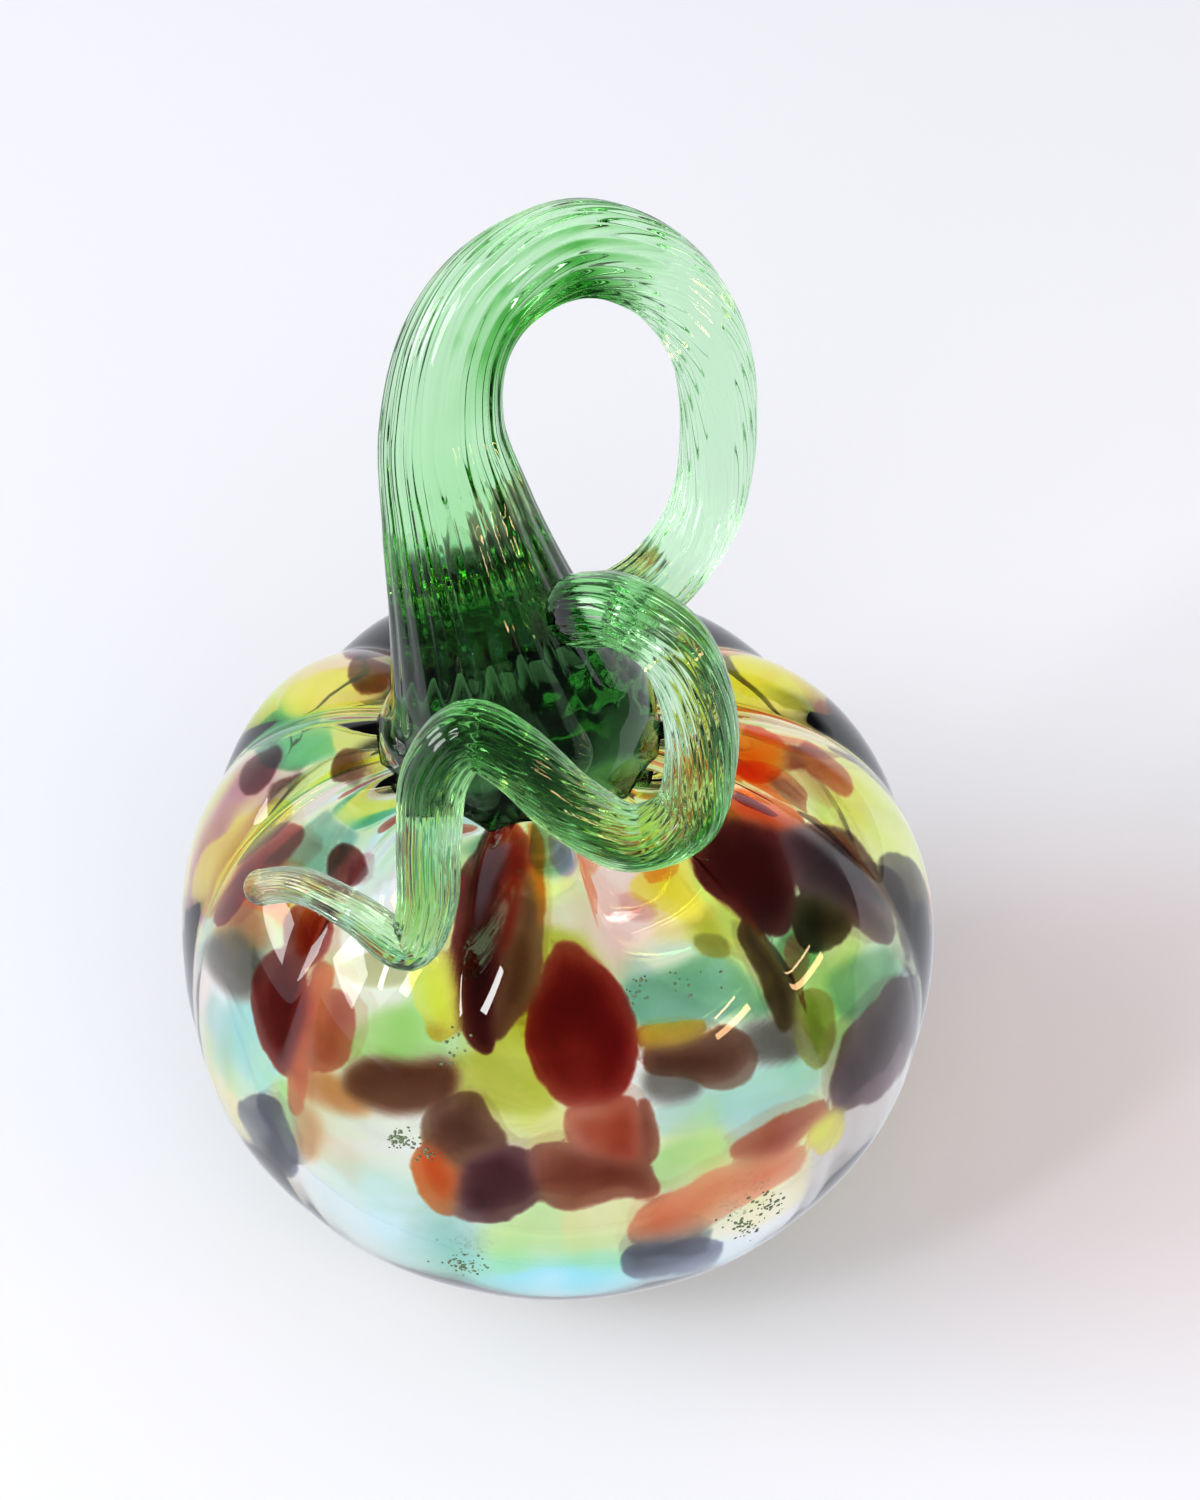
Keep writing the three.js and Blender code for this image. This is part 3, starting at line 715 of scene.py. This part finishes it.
def hidden(turn, along):
    """Whether the photograph doesn't show a place on the wall."""
    level = np.interp(along, wall_along, wall_levels)
    return facing(wall_point(turn, along), level, turn) < HIDDEN_FROM


def oval_depth(place, axes, half):
    """Millimetres by which places lie inside an oval of half lengths along two axes."""
    reach = np.abs(place @ axes / half)
    return (1 - np.sum(reach**CHIP_SQUARENESS, axis=1) ** (1 / CHIP_SQUARENESS)) * half.min()


def chip_depth(name, turn, along, shift):
    """Millimetres by which places lie inside a CAD chip; nothing if the photograph shows the chip."""
    points = node_points(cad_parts[name])
    chip_turn, chip_along = surface_place(points, CHIP_DEPTH)
    middle_turn = math.atan2(np.sin(chip_turn).mean(), np.cos(chip_turn).mean())
    middle_along = (chip_along.max() + chip_along.min()) / 2
    if not hidden(middle_turn, middle_along):
        return None
    chip = flattened(chip_turn, chip_along, middle_turn, middle_along)
    _, axes = np.linalg.eigh(np.cov(chip.T))
    half = np.ptp(chip @ axes, axis=0) / 2
    return oval_depth(flattened(turn, along, middle_turn, middle_along) + shift, axes, half)


def back_place(draw, band):
    """A random turn and way along the wall on the side away from the front."""
    turn = math.pi + draw.uniform(-1, 1) * (math.pi - math.radians(BACK_FROM))
    return turn, draw.uniform(*band) * wall_along[-1]


def back_depths(turn, along, shift):
    """Colours of the patches drawn at random on the hidden side, and how far places lie inside them."""
    draw = np.random.default_rng(BACK_SEED)
    depths = []
    for _ in range(BACK_PATCHES):
        middle = back_place(draw, BACK_BAND)
        lean = BACK_LEAN * draw.normal()
        axes = np.array([[math.cos(lean), -math.sin(lean)], [math.sin(lean), math.cos(lean)]])
        half = draw.uniform(*BACK_SIZE)
        colour = draw.choice(BACK_PATCH_COLOURS)
        if hidden(*middle):
            depths.append((colour, oval_depth(flattened(turn, along, *middle) + shift, axes, half)))
    return depths


def all_depths(points, level, turn):
    """Colour of every patch, and the millimetres by which places on the wall lie inside it."""
    wander = np.stack([ripple(points, EDGE_WAVE, seed) for seed in EDGE_SEEDS], axis=-1)
    pixels = seen_pixels(points) + EDGE_WOBBLE * wander
    past_rim = PAST_THE_RIM * np.maximum(-facing(points, level, turn), 0)
    depths = [(colour, outline_depth(corners, pixels, past_rim)) for colour, *corners in PATCHES]
    along = np.interp(level, wall_levels, wall_along)
    for name in sorted(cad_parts):
        if name.startswith("chip_"):
            depth = chip_depth(name, turn, along, CHIP_WOBBLE * wander)
            if depth is not None:
                colour = name.split("_")[1]
                depths.append((CHIP_GLASS.get(colour, colour), depth))
    return depths + back_depths(turn, along, CHIP_WOBBLE * wander)


def all_fields(tree):
    """Middle and colour of every pale field."""
    fields = []
    for colour, pixels in FIELDS.items():
        fields += [(wall_point(*seen_place(tree, x, y)), colour) for x, y in pixels]
    draw = np.random.default_rng(FIELD_SEED)
    for _ in range(BACK_FIELDS):
        fields.append((wall_point(*back_place(draw, FIELD_BAND)), draw.choice(BACK_FIELD_COLOURS)))
    return fields


def field_depth(points, fields):
    """How much light the pale fields take: at each point the nearest one rules, with soft borders."""
    wander = np.stack([FIELD_WOBBLE * ripple(points, FIELD_WAVE, seed) for seed in FIELD_SEEDS], axis=-1)
    nearness = []
    for middle, _ in fields:
        distance = np.linalg.norm(points + wander - middle, axis=1)
        nearness.append((distance + FIELD_CORE) ** -FIELD_EDGE)
    share = np.array(nearness) / np.sum(nearness, axis=0)
    return share.T @ -np.log([GLASS[colour] for _, colour in fields])


def streaks(turn, level):
    """Strength of the pale fields in long streaks that run down the wall."""
    along = np.interp(level, wall_levels, wall_along) / STREAK_LENGTH
    drawn = np.stack([BODY_RADIUS * np.sin(turn), BODY_RADIUS * np.cos(turn), along], axis=-1)
    return np.maximum(1 + STREAKS * ripple(drawn, STREAK_WIDTH, STREAK_SEED), 0)


def painted_foot_shade(points):
    """How much of the painted shade under and behind the stem's foot lies at each point."""
    shade = np.zeros(len(points))
    for x, y, start, end in PAINTED_SHADE_DISCS:
        shade = np.maximum(shade, 1 - smoothstep(start, end, np.hypot(points[:, 0] - x, points[:, 1] - y)))
    x, y, start, end = PAINTED_SHADE_GAP
    window = smoothstep(start, end, np.hypot(points[:, 0] - x, points[:, 1] - y))
    return shade * window * (points[:, 2] > BELLY_HEIGHT)


def wall_colours(turn, level, fields):
    """Light let through by the wall's pale glass with the painted shade under the stem's foot, and by its
    frit, and how far inside frit places lie.
    """
    points = lobed_wall(level, turn, 0)
    mottle = 1 + MOTTLE * ripple(points, MOTTLE_SIZE, MOTTLE_SEED)
    total = (field_depth(points, fields) * streaks(turn, level)[:, None]) ** OVERLAP
    # Painted shade under and behind the stem's foot, added to the pale glass's colour
    total += (painted_foot_shade(points)[:, None] * -np.log(PAINTED_FOOT_SHADE)) ** OVERLAP
    weights = np.full(len(points), LEAST_WEIGHT)
    frit = np.zeros((len(points), 3))
    edge = np.full(len(points), -float(CHIP_REACH))
    for colour, depth in all_depths(points, level, turn):
        if colour in SOFT_COLOURS:
            cover = smoothstep(-SOFT_EDGE, SOFT_EDGE, depth) * mottle
            total += (cover[:, None] * -np.log(GLASS[colour])) ** OVERLAP
        else:
            weight = np.exp(depth / FRIT_BLEND)
            weights += weight
            frit += weight[:, None] * np.log(GLASS[colour])
            edge = np.maximum(edge, depth)
    strength = BASE_STRENGTH + (1 - BASE_STRENGTH) * smoothstep(*BASE_FADE, np.degrees(level))
    tint = np.exp(-(total ** (1 / OVERLAP)) * strength[:, None])
    return tint, np.exp(frit * (strength / weights)[:, None]), edge


def closed_surface(rings, poles, flipped):
    """Points and faces of rings that climb from one pole to another. Flipped ones face in."""
    count, columns, _ = rings.shape
    points = np.concatenate([rings.reshape(-1, 3), poles])
    faces = ring_quads(count, columns)
    faces += pole_fan(count * columns, 0, columns, True)
    faces += pole_fan(count * columns + 1, (count - 1) * columns, columns, False)
    if flipped:
        faces = [face[::-1] for face in faces]
    return points, faces


def end_points(rings, inset):
    """Middles of the base and of the neck of one surface."""
    return np.array([[0, 0, inset + PUNT], rings[-1].mean(axis=0)])


def make_body():
    """The body's wall, an outside and a hollow with its colour and the painted shade under the foot painted
    on both; and the outside's tree.
    """
    outer_level, outer_turn, outer = wall_grid(0, OUTER_ROWS, OUTER_COLUMNS, 1)
    inner_level, inner_turn, inner = wall_grid(WALL, INNER_ROWS, INNER_COLUMNS, INNER_RELIEF)
    outside, outside_faces = closed_surface(outer, end_points(outer, 0), False)
    hollow, hollow_faces = closed_surface(inner, end_points(inner, WALL), True)
    hollow_faces = [tuple(i + len(outside) for i in face) for face in hollow_faces]
    piece = new_piece("glass_body", np.concatenate([outside, hollow]), outside_faces + hollow_faces)
    tree = BVHTree.FromPolygons(outside, outside_faces)
    fields = all_fields(tree)
    tints, frits, edges = [], [], []
    coats = [(outer_level, outer_turn, OUTER_PAINT), (inner_level, inner_turn, 2 - OUTER_PAINT)]
    for level, turn, share in coats:
        tint, frit, edge = wall_colours(turn.ravel(), level.ravel(), fields)
        tints += [tint**share, np.ones((2, 3))]
        frits += [frit**share, np.ones((2, 3))]
        edges += [edge, -CHIP_REACH * np.ones(2)]
    paint(piece, "tint", np.concatenate(tints))
    paint(piece, "frit", np.concatenate(frits))
    depth = piece.data.attributes.new("frit_depth", "FLOAT", "POINT")
    depth.data.foreach_set("value", np.concatenate(edges))
    return piece, tree


def paint(piece, name, colours):
    """Gives a piece's points a colour each."""
    layer = piece.data.attributes.new(name, "FLOAT_COLOR", "POINT")
    layer.data.foreach_set("color", np.column_stack([colours, np.ones(len(colours))]).ravel())


def make_specks(tree):
    """Specks of dark glass scattered in the wall, each a small uneven bead."""
    draw = np.random.default_rng(SPECK_SEED)
    mesh = bmesh.new()
    for x, y, across, down, number in SPECKS:
        for _ in range(number):
            turn, along = seen_place(tree, x + draw.normal() * across, y + draw.normal() * down)
            middle = wall_point(turn, along)
            _, outward, _, _ = tree.find_nearest(middle)
            middle = Vector(middle) - outward * SPECK_DEPTH
            stretch = Matrix.Diagonal([draw.uniform(*span) for span in SPECK_STRETCH] + [1, 1])
            turned = outward.to_track_quat("Z", "Y").to_matrix().to_4x4()
            place = Matrix.Translation(middle) @ turned @ stretch
            bmesh.ops.create_icosphere(mesh, subdivisions=1, radius=draw.uniform(*SPECK_RADIUS), matrix=place)
    points = np.array([v.co for v in mesh.verts])
    faces = [[v.index for v in face.verts] for face in mesh.faces]
    mesh.free()
    return new_piece("dark_specks", points, faces)


# Stem


def spline(points, per_span):
    """A centripetal Catmull-Rom curve through points with a radius each, as the CAD draws it."""
    line = points[:, :3]
    gaps = np.sqrt(np.linalg.norm(np.diff(line, axis=0), axis=1))
    padded = np.concatenate([[2 * points[0] - points[1]], points, [2 * points[-1] - points[-2]]])
    gaps = np.concatenate([gaps[:1], gaps, gaps[-1:]])
    share = np.linspace(0, 1, per_span, endpoint=False)[:, None]
    spans = []
    for i in range(len(points) - 1):
        before, start, end, after = padded[i : i + 4]
        gap_before, gap, gap_after = gaps[i : i + 3]
        slope = (end - start) / gap
        slope_start = (start - before) / gap_before - (end - before) / (gap_before + gap) + slope
        slope_end = slope - (after - start) / (gap + gap_after) + (after - end) / gap_after
        slope_start, slope_end = slope_start * gap, slope_end * gap
        cubic = 2 * start - 2 * end + slope_start + slope_end
        square = -3 * start + 3 * end - 2 * slope_start - slope_end
        spans.append(start + slope_start * share + square * share**2 + cubic * share**3)
    return np.concatenate([*spans, points[-1:]])


def values_at(place, along, rows):
    """What rows say at places on a line, where each row holds for its own way along it."""
    return np.stack([np.interp(place, along, column) for column in rows.T], axis=-1)


def even_rings():
    """Middle, direction, radius and way along of the rod's rings, even until its tip; and its end."""
    curve = spline(np.vstack([FOOT_POINT, STEM_LINE]), STEM_SAMPLES)
    along = np.concatenate([[0], np.cumsum(np.linalg.norm(np.diff(curve[:, :3], axis=0), axis=1))])
    length = along[-1]
    tip = curve[-1, 3]
    into_tip = np.sin(np.linspace(0, math.pi / 2, TIP_RINGS + 1))[1:-1]
    place = np.concatenate([np.linspace(0, length - tip, STEM_RINGS), length - tip * (1 - into_tip)])
    rings = values_at(place, along, curve)
    past = values_at(place + DIRECTION_STEP, along, curve[:, :3])
    short = values_at(place - DIRECTION_STEP, along, curve[:, :3])
    direction = past - short
    direction /= np.linalg.norm(direction, axis=1)[:, None]
    rounding = np.clip(1 - (length - place) / tip, 0, 1)
    return rings[:, :3], direction, rings[:, 3] * np.sqrt(1 - rounding**2), place, curve[-1, :3]


def ribbed_rod():
    """The rod's rings with their ribs, how deep the green and its painted shade are at each of their points,
    and the rod's end.
    """
    middle, direction, radius, place, tip = even_rings()
    angle = np.arange(STEM_COLUMNS) * 2 * math.pi / STEM_COLUMNS
    rib = np.sqrt(np.cos(RIBS / 2 * angle) ** 2 + GROOVE_ROUND**2) - 1
    height, turning = values_at(place, RIB_LINE[:, 0], RIB_LINE[:, 1:]).T
    twist = np.cumsum(np.gradient(place) * turning)
    bend = np.gradient(direction, place, axis=0)
    # Green all round, partly painted shade, and painted shade inside a bend
    all_round, inside = values_at(place, GREEN_AND_SHADE_LINE[:, 0], GREEN_AND_SHADE_LINE[:, 1:]).T
    across = np.array([1.0, 0, 0])
    rings, green_and_shade = [], []
    for k in range(len(place)):
        across = across - direction[k] * (across @ direction[k])
        across /= np.linalg.norm(across)
        beside = np.cross(direction[k], across)
        outward = np.outer(np.cos(angle + twist[k]), across) + np.outer(np.sin(angle + twist[k]), beside)
        pressed = np.clip(1 + BEND_GAIN * radius[k] * (outward @ bend[k]), *PRESSED)
        reach = radius[k] * (1 + height[k] * pressed * rib)
        rings.append(middle[k] + reach[:, None] * outward)
        green_and_shade.append(all_round[k] + inside[k] * smoothstep(*BEND_SHADE_PRESSED, pressed))
    return np.array(rings), np.ravel(green_and_shade), tip


def make_stem(body):
    """The ribbed rod, its foot pressed on the body."""
    rod, green_and_shade, tip = ribbed_rod()
    centre = np.array(FOOT_POINT[:3])
    shares = np.arange(1, FOOT_RINGS)[:, None, None] / FOOT_RINGS
    under = centre + (rod[0] - centre) * shares
    rings = seated(np.concatenate([under, rod]), body)
    floor = seated(centre[None, None, :], body)[0]
    points, faces = closed_surface(rings, np.concatenate([floor, tip[None, :]]), False)
    piece = new_piece("glass_stem", points, faces)
    under_foot = np.zeros((FOOT_RINGS - 1) * STEM_COLUMNS)
    depth = np.concatenate([under_foot, green_and_shade, [0, 0]])[:, None]
    # The green with its painted shade, as a colour on each point
    paint(piece, "green", np.array(PALE_GREEN) * np.array(DEEP_GREEN_AND_SHADE) ** depth)
    return piece


def seated(rings, body):
    """Lifts the points that lie under the body's top up to it, so that the foot is fused to its skin."""
    mesh = body.data
    tree = BVHTree.FromPolygons([v.co for v in mesh.vertices], [p.vertices for p in mesh.polygons])
    points = rings.reshape(-1, 3).copy()
    low = points[:, 2] < BELLY_HEIGHT + CROWN_RISE
    for i in np.flatnonzero(low):
        x, y, _ = points[i] * MM
        hit, _, _, _ = tree.ray_cast(Vector((x, y, OVERHEAD)), Vector((0, 0, -1)))
        points[i, 2] = max(points[i, 2], hit.z / MM - FOOT_SINK)
    return points.reshape(rings.shape)


# Materials


def new_material(name):
    """A new material, its nodes and its shader."""
    material = bpy.data.materials.new(name)
    material.use_nodes = True
    return material, material.node_tree, material.node_tree.nodes["Principled BSDF"]


def new_glass(name):
    """The same for clear glass."""
    material, tree, shader = new_material(name)
    shader.inputs["Transmission Weight"].default_value = 1
    shader.inputs["Roughness"].default_value = GLASS_ROUGHNESS
    shader.inputs["IOR"].default_value = GLASS_INDEX
    return material, tree, shader


def feed(tree, socket, value):
    """Links a socket to another one, or sets it to a plain value."""
    if isinstance(value, bpy.types.NodeSocket):
        tree.links.new(value, socket)
    else:
        socket.default_value = value


def add_node(tree, kind, **inputs):
    """A node with sockets or plain values on some of its inputs."""
    node = tree.nodes.new(kind)
    for name, value in inputs.items():
        feed(tree, node.inputs[name], value)
    return node


def add_noise(tree, scale, detail):
    """A noise texture in object space."""
    place = add_node(tree, "ShaderNodeTexCoord").outputs["Object"]
    return add_node(tree, "ShaderNodeTexNoise", Vector=place, Scale=scale, Detail=detail).outputs["Fac"]


def add_bump(tree, shader, height, strength, distance):
    bump = add_node(tree, "ShaderNodeBump", Height=height, Strength=strength, Distance=distance)
    tree.links.new(bump.outputs["Normal"], shader.inputs["Normal"])


def add_attribute(tree, name):
    attribute = add_node(tree, "ShaderNodeAttribute")
    attribute.attribute_name = name
    return attribute.outputs


def add_math(tree, operation, *values):
    """A math node on sockets or plain numbers."""
    node = add_node(tree, "ShaderNodeMath")
    node.operation = operation
    for socket, value in zip(node.inputs, values):
        feed(tree, socket, value)
    return node.outputs["Value"]


def add_step(tree, value, edge, levels):
    """Goes smoothly from one level to another over an edge."""
    step = add_node(tree, "ShaderNodeMapRange", Value=value)
    step.interpolation_type = "SMOOTHSTEP"
    step.inputs["From Min"].default_value, step.inputs["From Max"].default_value = edge
    step.inputs["To Min"].default_value, step.inputs["To Max"].default_value = levels
    return step.outputs["Result"]


def add_mix(tree, share, one, two, blend="MIX"):
    """Two colours mixed."""
    mix = add_node(tree, "ShaderNodeMix")
    mix.data_type = "RGBA"
    mix.blend_type = blend
    for name, value in (("Factor", share), ("A", one), ("B", two)):
        feed(tree, mix.inputs[name], value)
    return mix.outputs["Result"]


def add_ramp(tree, value, places, colours, easing):
    """A colour that goes from one to another between two places."""
    node = add_node(tree, "ShaderNodeValToRGB", Fac=value)
    node.color_ramp.interpolation = easing
    for stop, place, colour in zip(node.color_ramp.elements, places, colours):
        stop.position = place
        stop.color = colour
    return node.outputs["Color"]


def body_glass():
    material, tree, shader = new_glass("fused_colour_glass")
    tint, frit, depth = [add_attribute(tree, name) for name in ("tint", "frit", "frit_depth")]
    uneven = add_math(tree, "MULTIPLY_ADD", add_noise(tree, *FRIT_GRAIN), 2 * FRIT_ROUGHNESS, -FRIT_ROUGHNESS)
    depth = add_math(tree, "ADD", depth["Fac"], uneven)
    edge = (-FRIT_EDGE, FRIT_EDGE)
    thickness = add_step(tree, depth, (0, FULL_FROM), THICKNESS)
    lens = add_math(tree, "MULTIPLY_ADD", add_noise(tree, *FRIT_LENS), 2 * UNEVEN_FRIT, 1 - UNEVEN_FRIT)
    thickness = add_math(tree, "MULTIPLY", thickness, lens)
    thickness = add_math(tree, "MULTIPLY", add_step(tree, depth, edge, (0, 1)), thickness)
    strong = add_node(tree, "ShaderNodeGamma", Color=frit["Color"], Gamma=thickness)
    left = add_step(tree, depth, edge, (1, PALE_UNDER_FRIT))
    pale = add_node(tree, "ShaderNodeGamma", Color=tint["Color"], Gamma=left)
    both = add_mix(tree, 1, pale.outputs["Color"], strong.outputs["Color"], "MULTIPLY")
    tree.links.new(both, shader.inputs["Base Color"])
    add_bump(tree, shader, add_noise(tree, *BODY_WAVE), *BODY_BUMP)
    return material


def speck_glass():
    material, tree, shader = new_material("dark_green_frit")
    shader.inputs["Roughness"].default_value = SPECK_ROUGHNESS
    grain = add_noise(tree, *SPECK_GRAIN)
    tree.links.new(add_ramp(tree, grain, (0, 1), SPECK_COLOURS, "LINEAR"), shader.inputs["Base Color"])
    add_bump(tree, shader, grain, *SPECK_BUMP)
    return material


def stem_glass():
    material, tree, shader = new_glass("green_glass")
    # Base colour: the rod's green with its painted shade
    tree.links.new(add_attribute(tree, "green")["Color"], shader.inputs["Base Color"])
    absorb = add_node(tree, "ShaderNodeVolumeAbsorption", Color=STEM_COLOUR, Density=STEM_DENSITY)
    tree.links.new(absorb.outputs["Volume"], tree.nodes["Material Output"].inputs["Volume"])
    add_bump(tree, shader, add_noise(tree, *STEM_WAVE), *STEM_BUMP)
    return material


def add_choice(tree, choice, no, yes):
    """One value or another, by a value of 0 or 1."""
    return add_math(tree, "MULTIPLY_ADD", choice, add_math(tree, "SUBTRACT", yes, no), no)


def add_mirrored(tree, path):
    """1 for what the outside of the glass mirrors, 0 for what is seen through it."""
    return add_math(tree, "GREATER_THAN", path["Is Glossy Ray"], path["Is Transmission Ray"])


def mix_shaders(tree, share, one, two, output):
    mix = add_node(tree, "ShaderNodeMixShader", Fac=share)
    tree.links.new(one, mix.inputs[1])
    tree.links.new(two, mix.inputs[2])
    tree.links.new(mix.outputs["Shader"], tree.nodes[output].inputs["Surface"])


def floor_paint():
    """Pale paper, with a pool of coloured light painted in the shadow beside the object. The glass shows the
    plain paper without the shadow, and dim where the lit paper ends.
    """
    material, tree, shader = new_material("pale_floor")
    material.cycles.emission_sampling = "NONE"
    shader.inputs["Roughness"].default_value = FLOOR_ROUGHNESS
    shader.inputs["Specular IOR Level"].default_value = FLOOR_GLOSS
    place = add_node(tree, "ShaderNodeNewGeometry").outputs["Position"]
    # Painted pool of coloured light: the paper's colour tinted around a place in the shadow
    away = add_node(tree, "ShaderNodeVectorMath")
    away.operation = "DISTANCE"
    away.inputs[1].default_value = PAINTED_CAUSTIC_PLACE
    tree.links.new(place, away.inputs[0])
    caustic_share = add_step(tree, away.outputs["Value"], PAINTED_CAUSTIC_REACH, (1, 0))
    tree.links.new(add_mix(tree, caustic_share, PAPER, PAINTED_CAUSTIC_PAPER), shader.inputs["Base Color"])
    x, y, _ = add_node(tree, "ShaderNodeSeparateXYZ", Vector=place).outputs
    behind = add_math(tree, "MULTIPLY_ADD", add_math(tree, "ABSOLUTE", x), -BACK_WEDGE, y)
    through = add_step(tree, behind, BACK_EDGE, (SEEN_PAPER, DIMMED))
    in_mirror = add_step(tree, add_math(tree, "MULTIPLY", y, -1), FRONT_EDGE, (1, DIMMED))
    path = add_node(tree, "ShaderNodeLightPath").outputs
    strength = add_choice(tree, add_mirrored(tree, path), through, in_mirror)
    shown = add_node(tree, "ShaderNodeEmission", Color=PAPER, Strength=strength)
    in_glass = add_math(tree, "MAXIMUM", path["Is Glossy Ray"], path["Is Transmission Ray"])
    mix_shaders(tree, in_glass, shader.outputs["BSDF"], shown.outputs["Emission"], "Material Output")
    return material


# Stage


def make_floor():
    mesh = bpy.data.meshes.new("floor")
    corners = [(-1, -1), (1, -1), (1, 1), (-1, 1)]
    mesh.from_pydata([(x * FLOOR_HALF, y * FLOOR_HALF, FLOOR_LEVEL) for x, y in corners], [], [(0, 1, 2, 3)])
    floor = bpy.data.objects.new("floor", mesh)
    floor.data.materials.append(floor_paint())
    bpy.context.scene.collection.objects.link(floor)


def make_camera():
    data = bpy.data.cameras.new("camera")
    data.sensor_fit = "VERTICAL"
    data.sensor_height = SENSOR
    data.lens = FOCAL_PIXELS * SENSOR / PHOTO_HEIGHT
    camera = bpy.data.objects.new("camera", data)
    camera.location = Vector(CAMERA_PLACE) * MM
    camera.rotation_euler = (CAMERA_PITCH, 0, 0)
    bpy.context.scene.collection.objects.link(camera)
    bpy.context.scene.camera = camera


def make_lamp(name, place, size, watts, colour):
    """A soft box aimed at the body."""
    data = bpy.data.lights.new(name, "AREA")
    data.shape = "RECTANGLE"
    data.size, data.size_y = size
    data.energy = watts
    data.color = colour
    lamp = bpy.data.objects.new(name, data)
    lamp.location = place
    aim = Vector((0, 0, BELLY_HEIGHT * MM)) - Vector(place)
    lamp.rotation_euler = aim.to_track_quat("-Z", "Y").to_euler()
    lamp.visible_glossy = name not in NOT_MIRRORED
    lamp.visible_transmission = name not in NOT_SEEN_THROUGH
    bpy.context.scene.collection.objects.link(lamp)


def make_world():
    """A pale background and even light for the floor. In the glass the room is pale low and dim higher up."""
    world = bpy.data.worlds.new("studio")
    world.use_nodes = True
    tree = world.node_tree
    place = add_node(tree, "ShaderNodeTexCoord").outputs["Generated"]
    split = add_node(tree, "ShaderNodeSeparateXYZ", Vector=place).outputs
    parts = [*split, add_math(tree, "ABSOLUTE", split["X"])]
    heights = []
    for *slopes, height in (SEEN_SLOPE, MIRRORED_SLOPE):
        for part, slope in zip(parts, slopes):
            height = add_math(tree, "MULTIPLY_ADD", part, slope, height)
        heights.append(height)
    path = add_node(tree, "ShaderNodeLightPath").outputs
    height = add_choice(tree, add_mirrored(tree, path), *heights)
    in_glass = add_ramp(tree, height, ROOM_EDGE, (PAPER, DIM_ROOM), "EASE")
    backdrop = add_mix(tree, path["Is Camera Ray"], in_glass, PAPER)
    room = add_node(tree, "ShaderNodeBackground", Color=backdrop)
    ambient = tree.nodes["Background"]
    ambient.inputs["Color"].default_value = (*WHITE, 1)
    ambient.inputs["Strength"].default_value = AMBIENT
    on_floor = add_math(tree, "GREATER_THAN", path["Diffuse Depth"], 0)
    mix_shaders(tree, on_floor, room.outputs["Background"], ambient.outputs["Background"], "World Output")
    bpy.context.scene.world = world


make_camera()
make_floor()
make_world()
for lamp in LAMPS:
    make_lamp(*lamp)
bpy.context.scene.cycles.max_bounces = BOUNCES
bpy.context.scene.cycles.transmission_bounces = BOUNCES

body, body_tree = make_body()
body.data.materials.append(body_glass())
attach(body, "root")
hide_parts(*[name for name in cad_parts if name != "stem"])

specks = make_specks(body_tree)
specks.data.materials.append(speck_glass())
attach(specks, "root")

stem = make_stem(body)
stem.data.materials.append(stem_glass())
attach(stem, "root")
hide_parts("stem")

bpy.context.scene.view_settings.view_transform = "Standard"
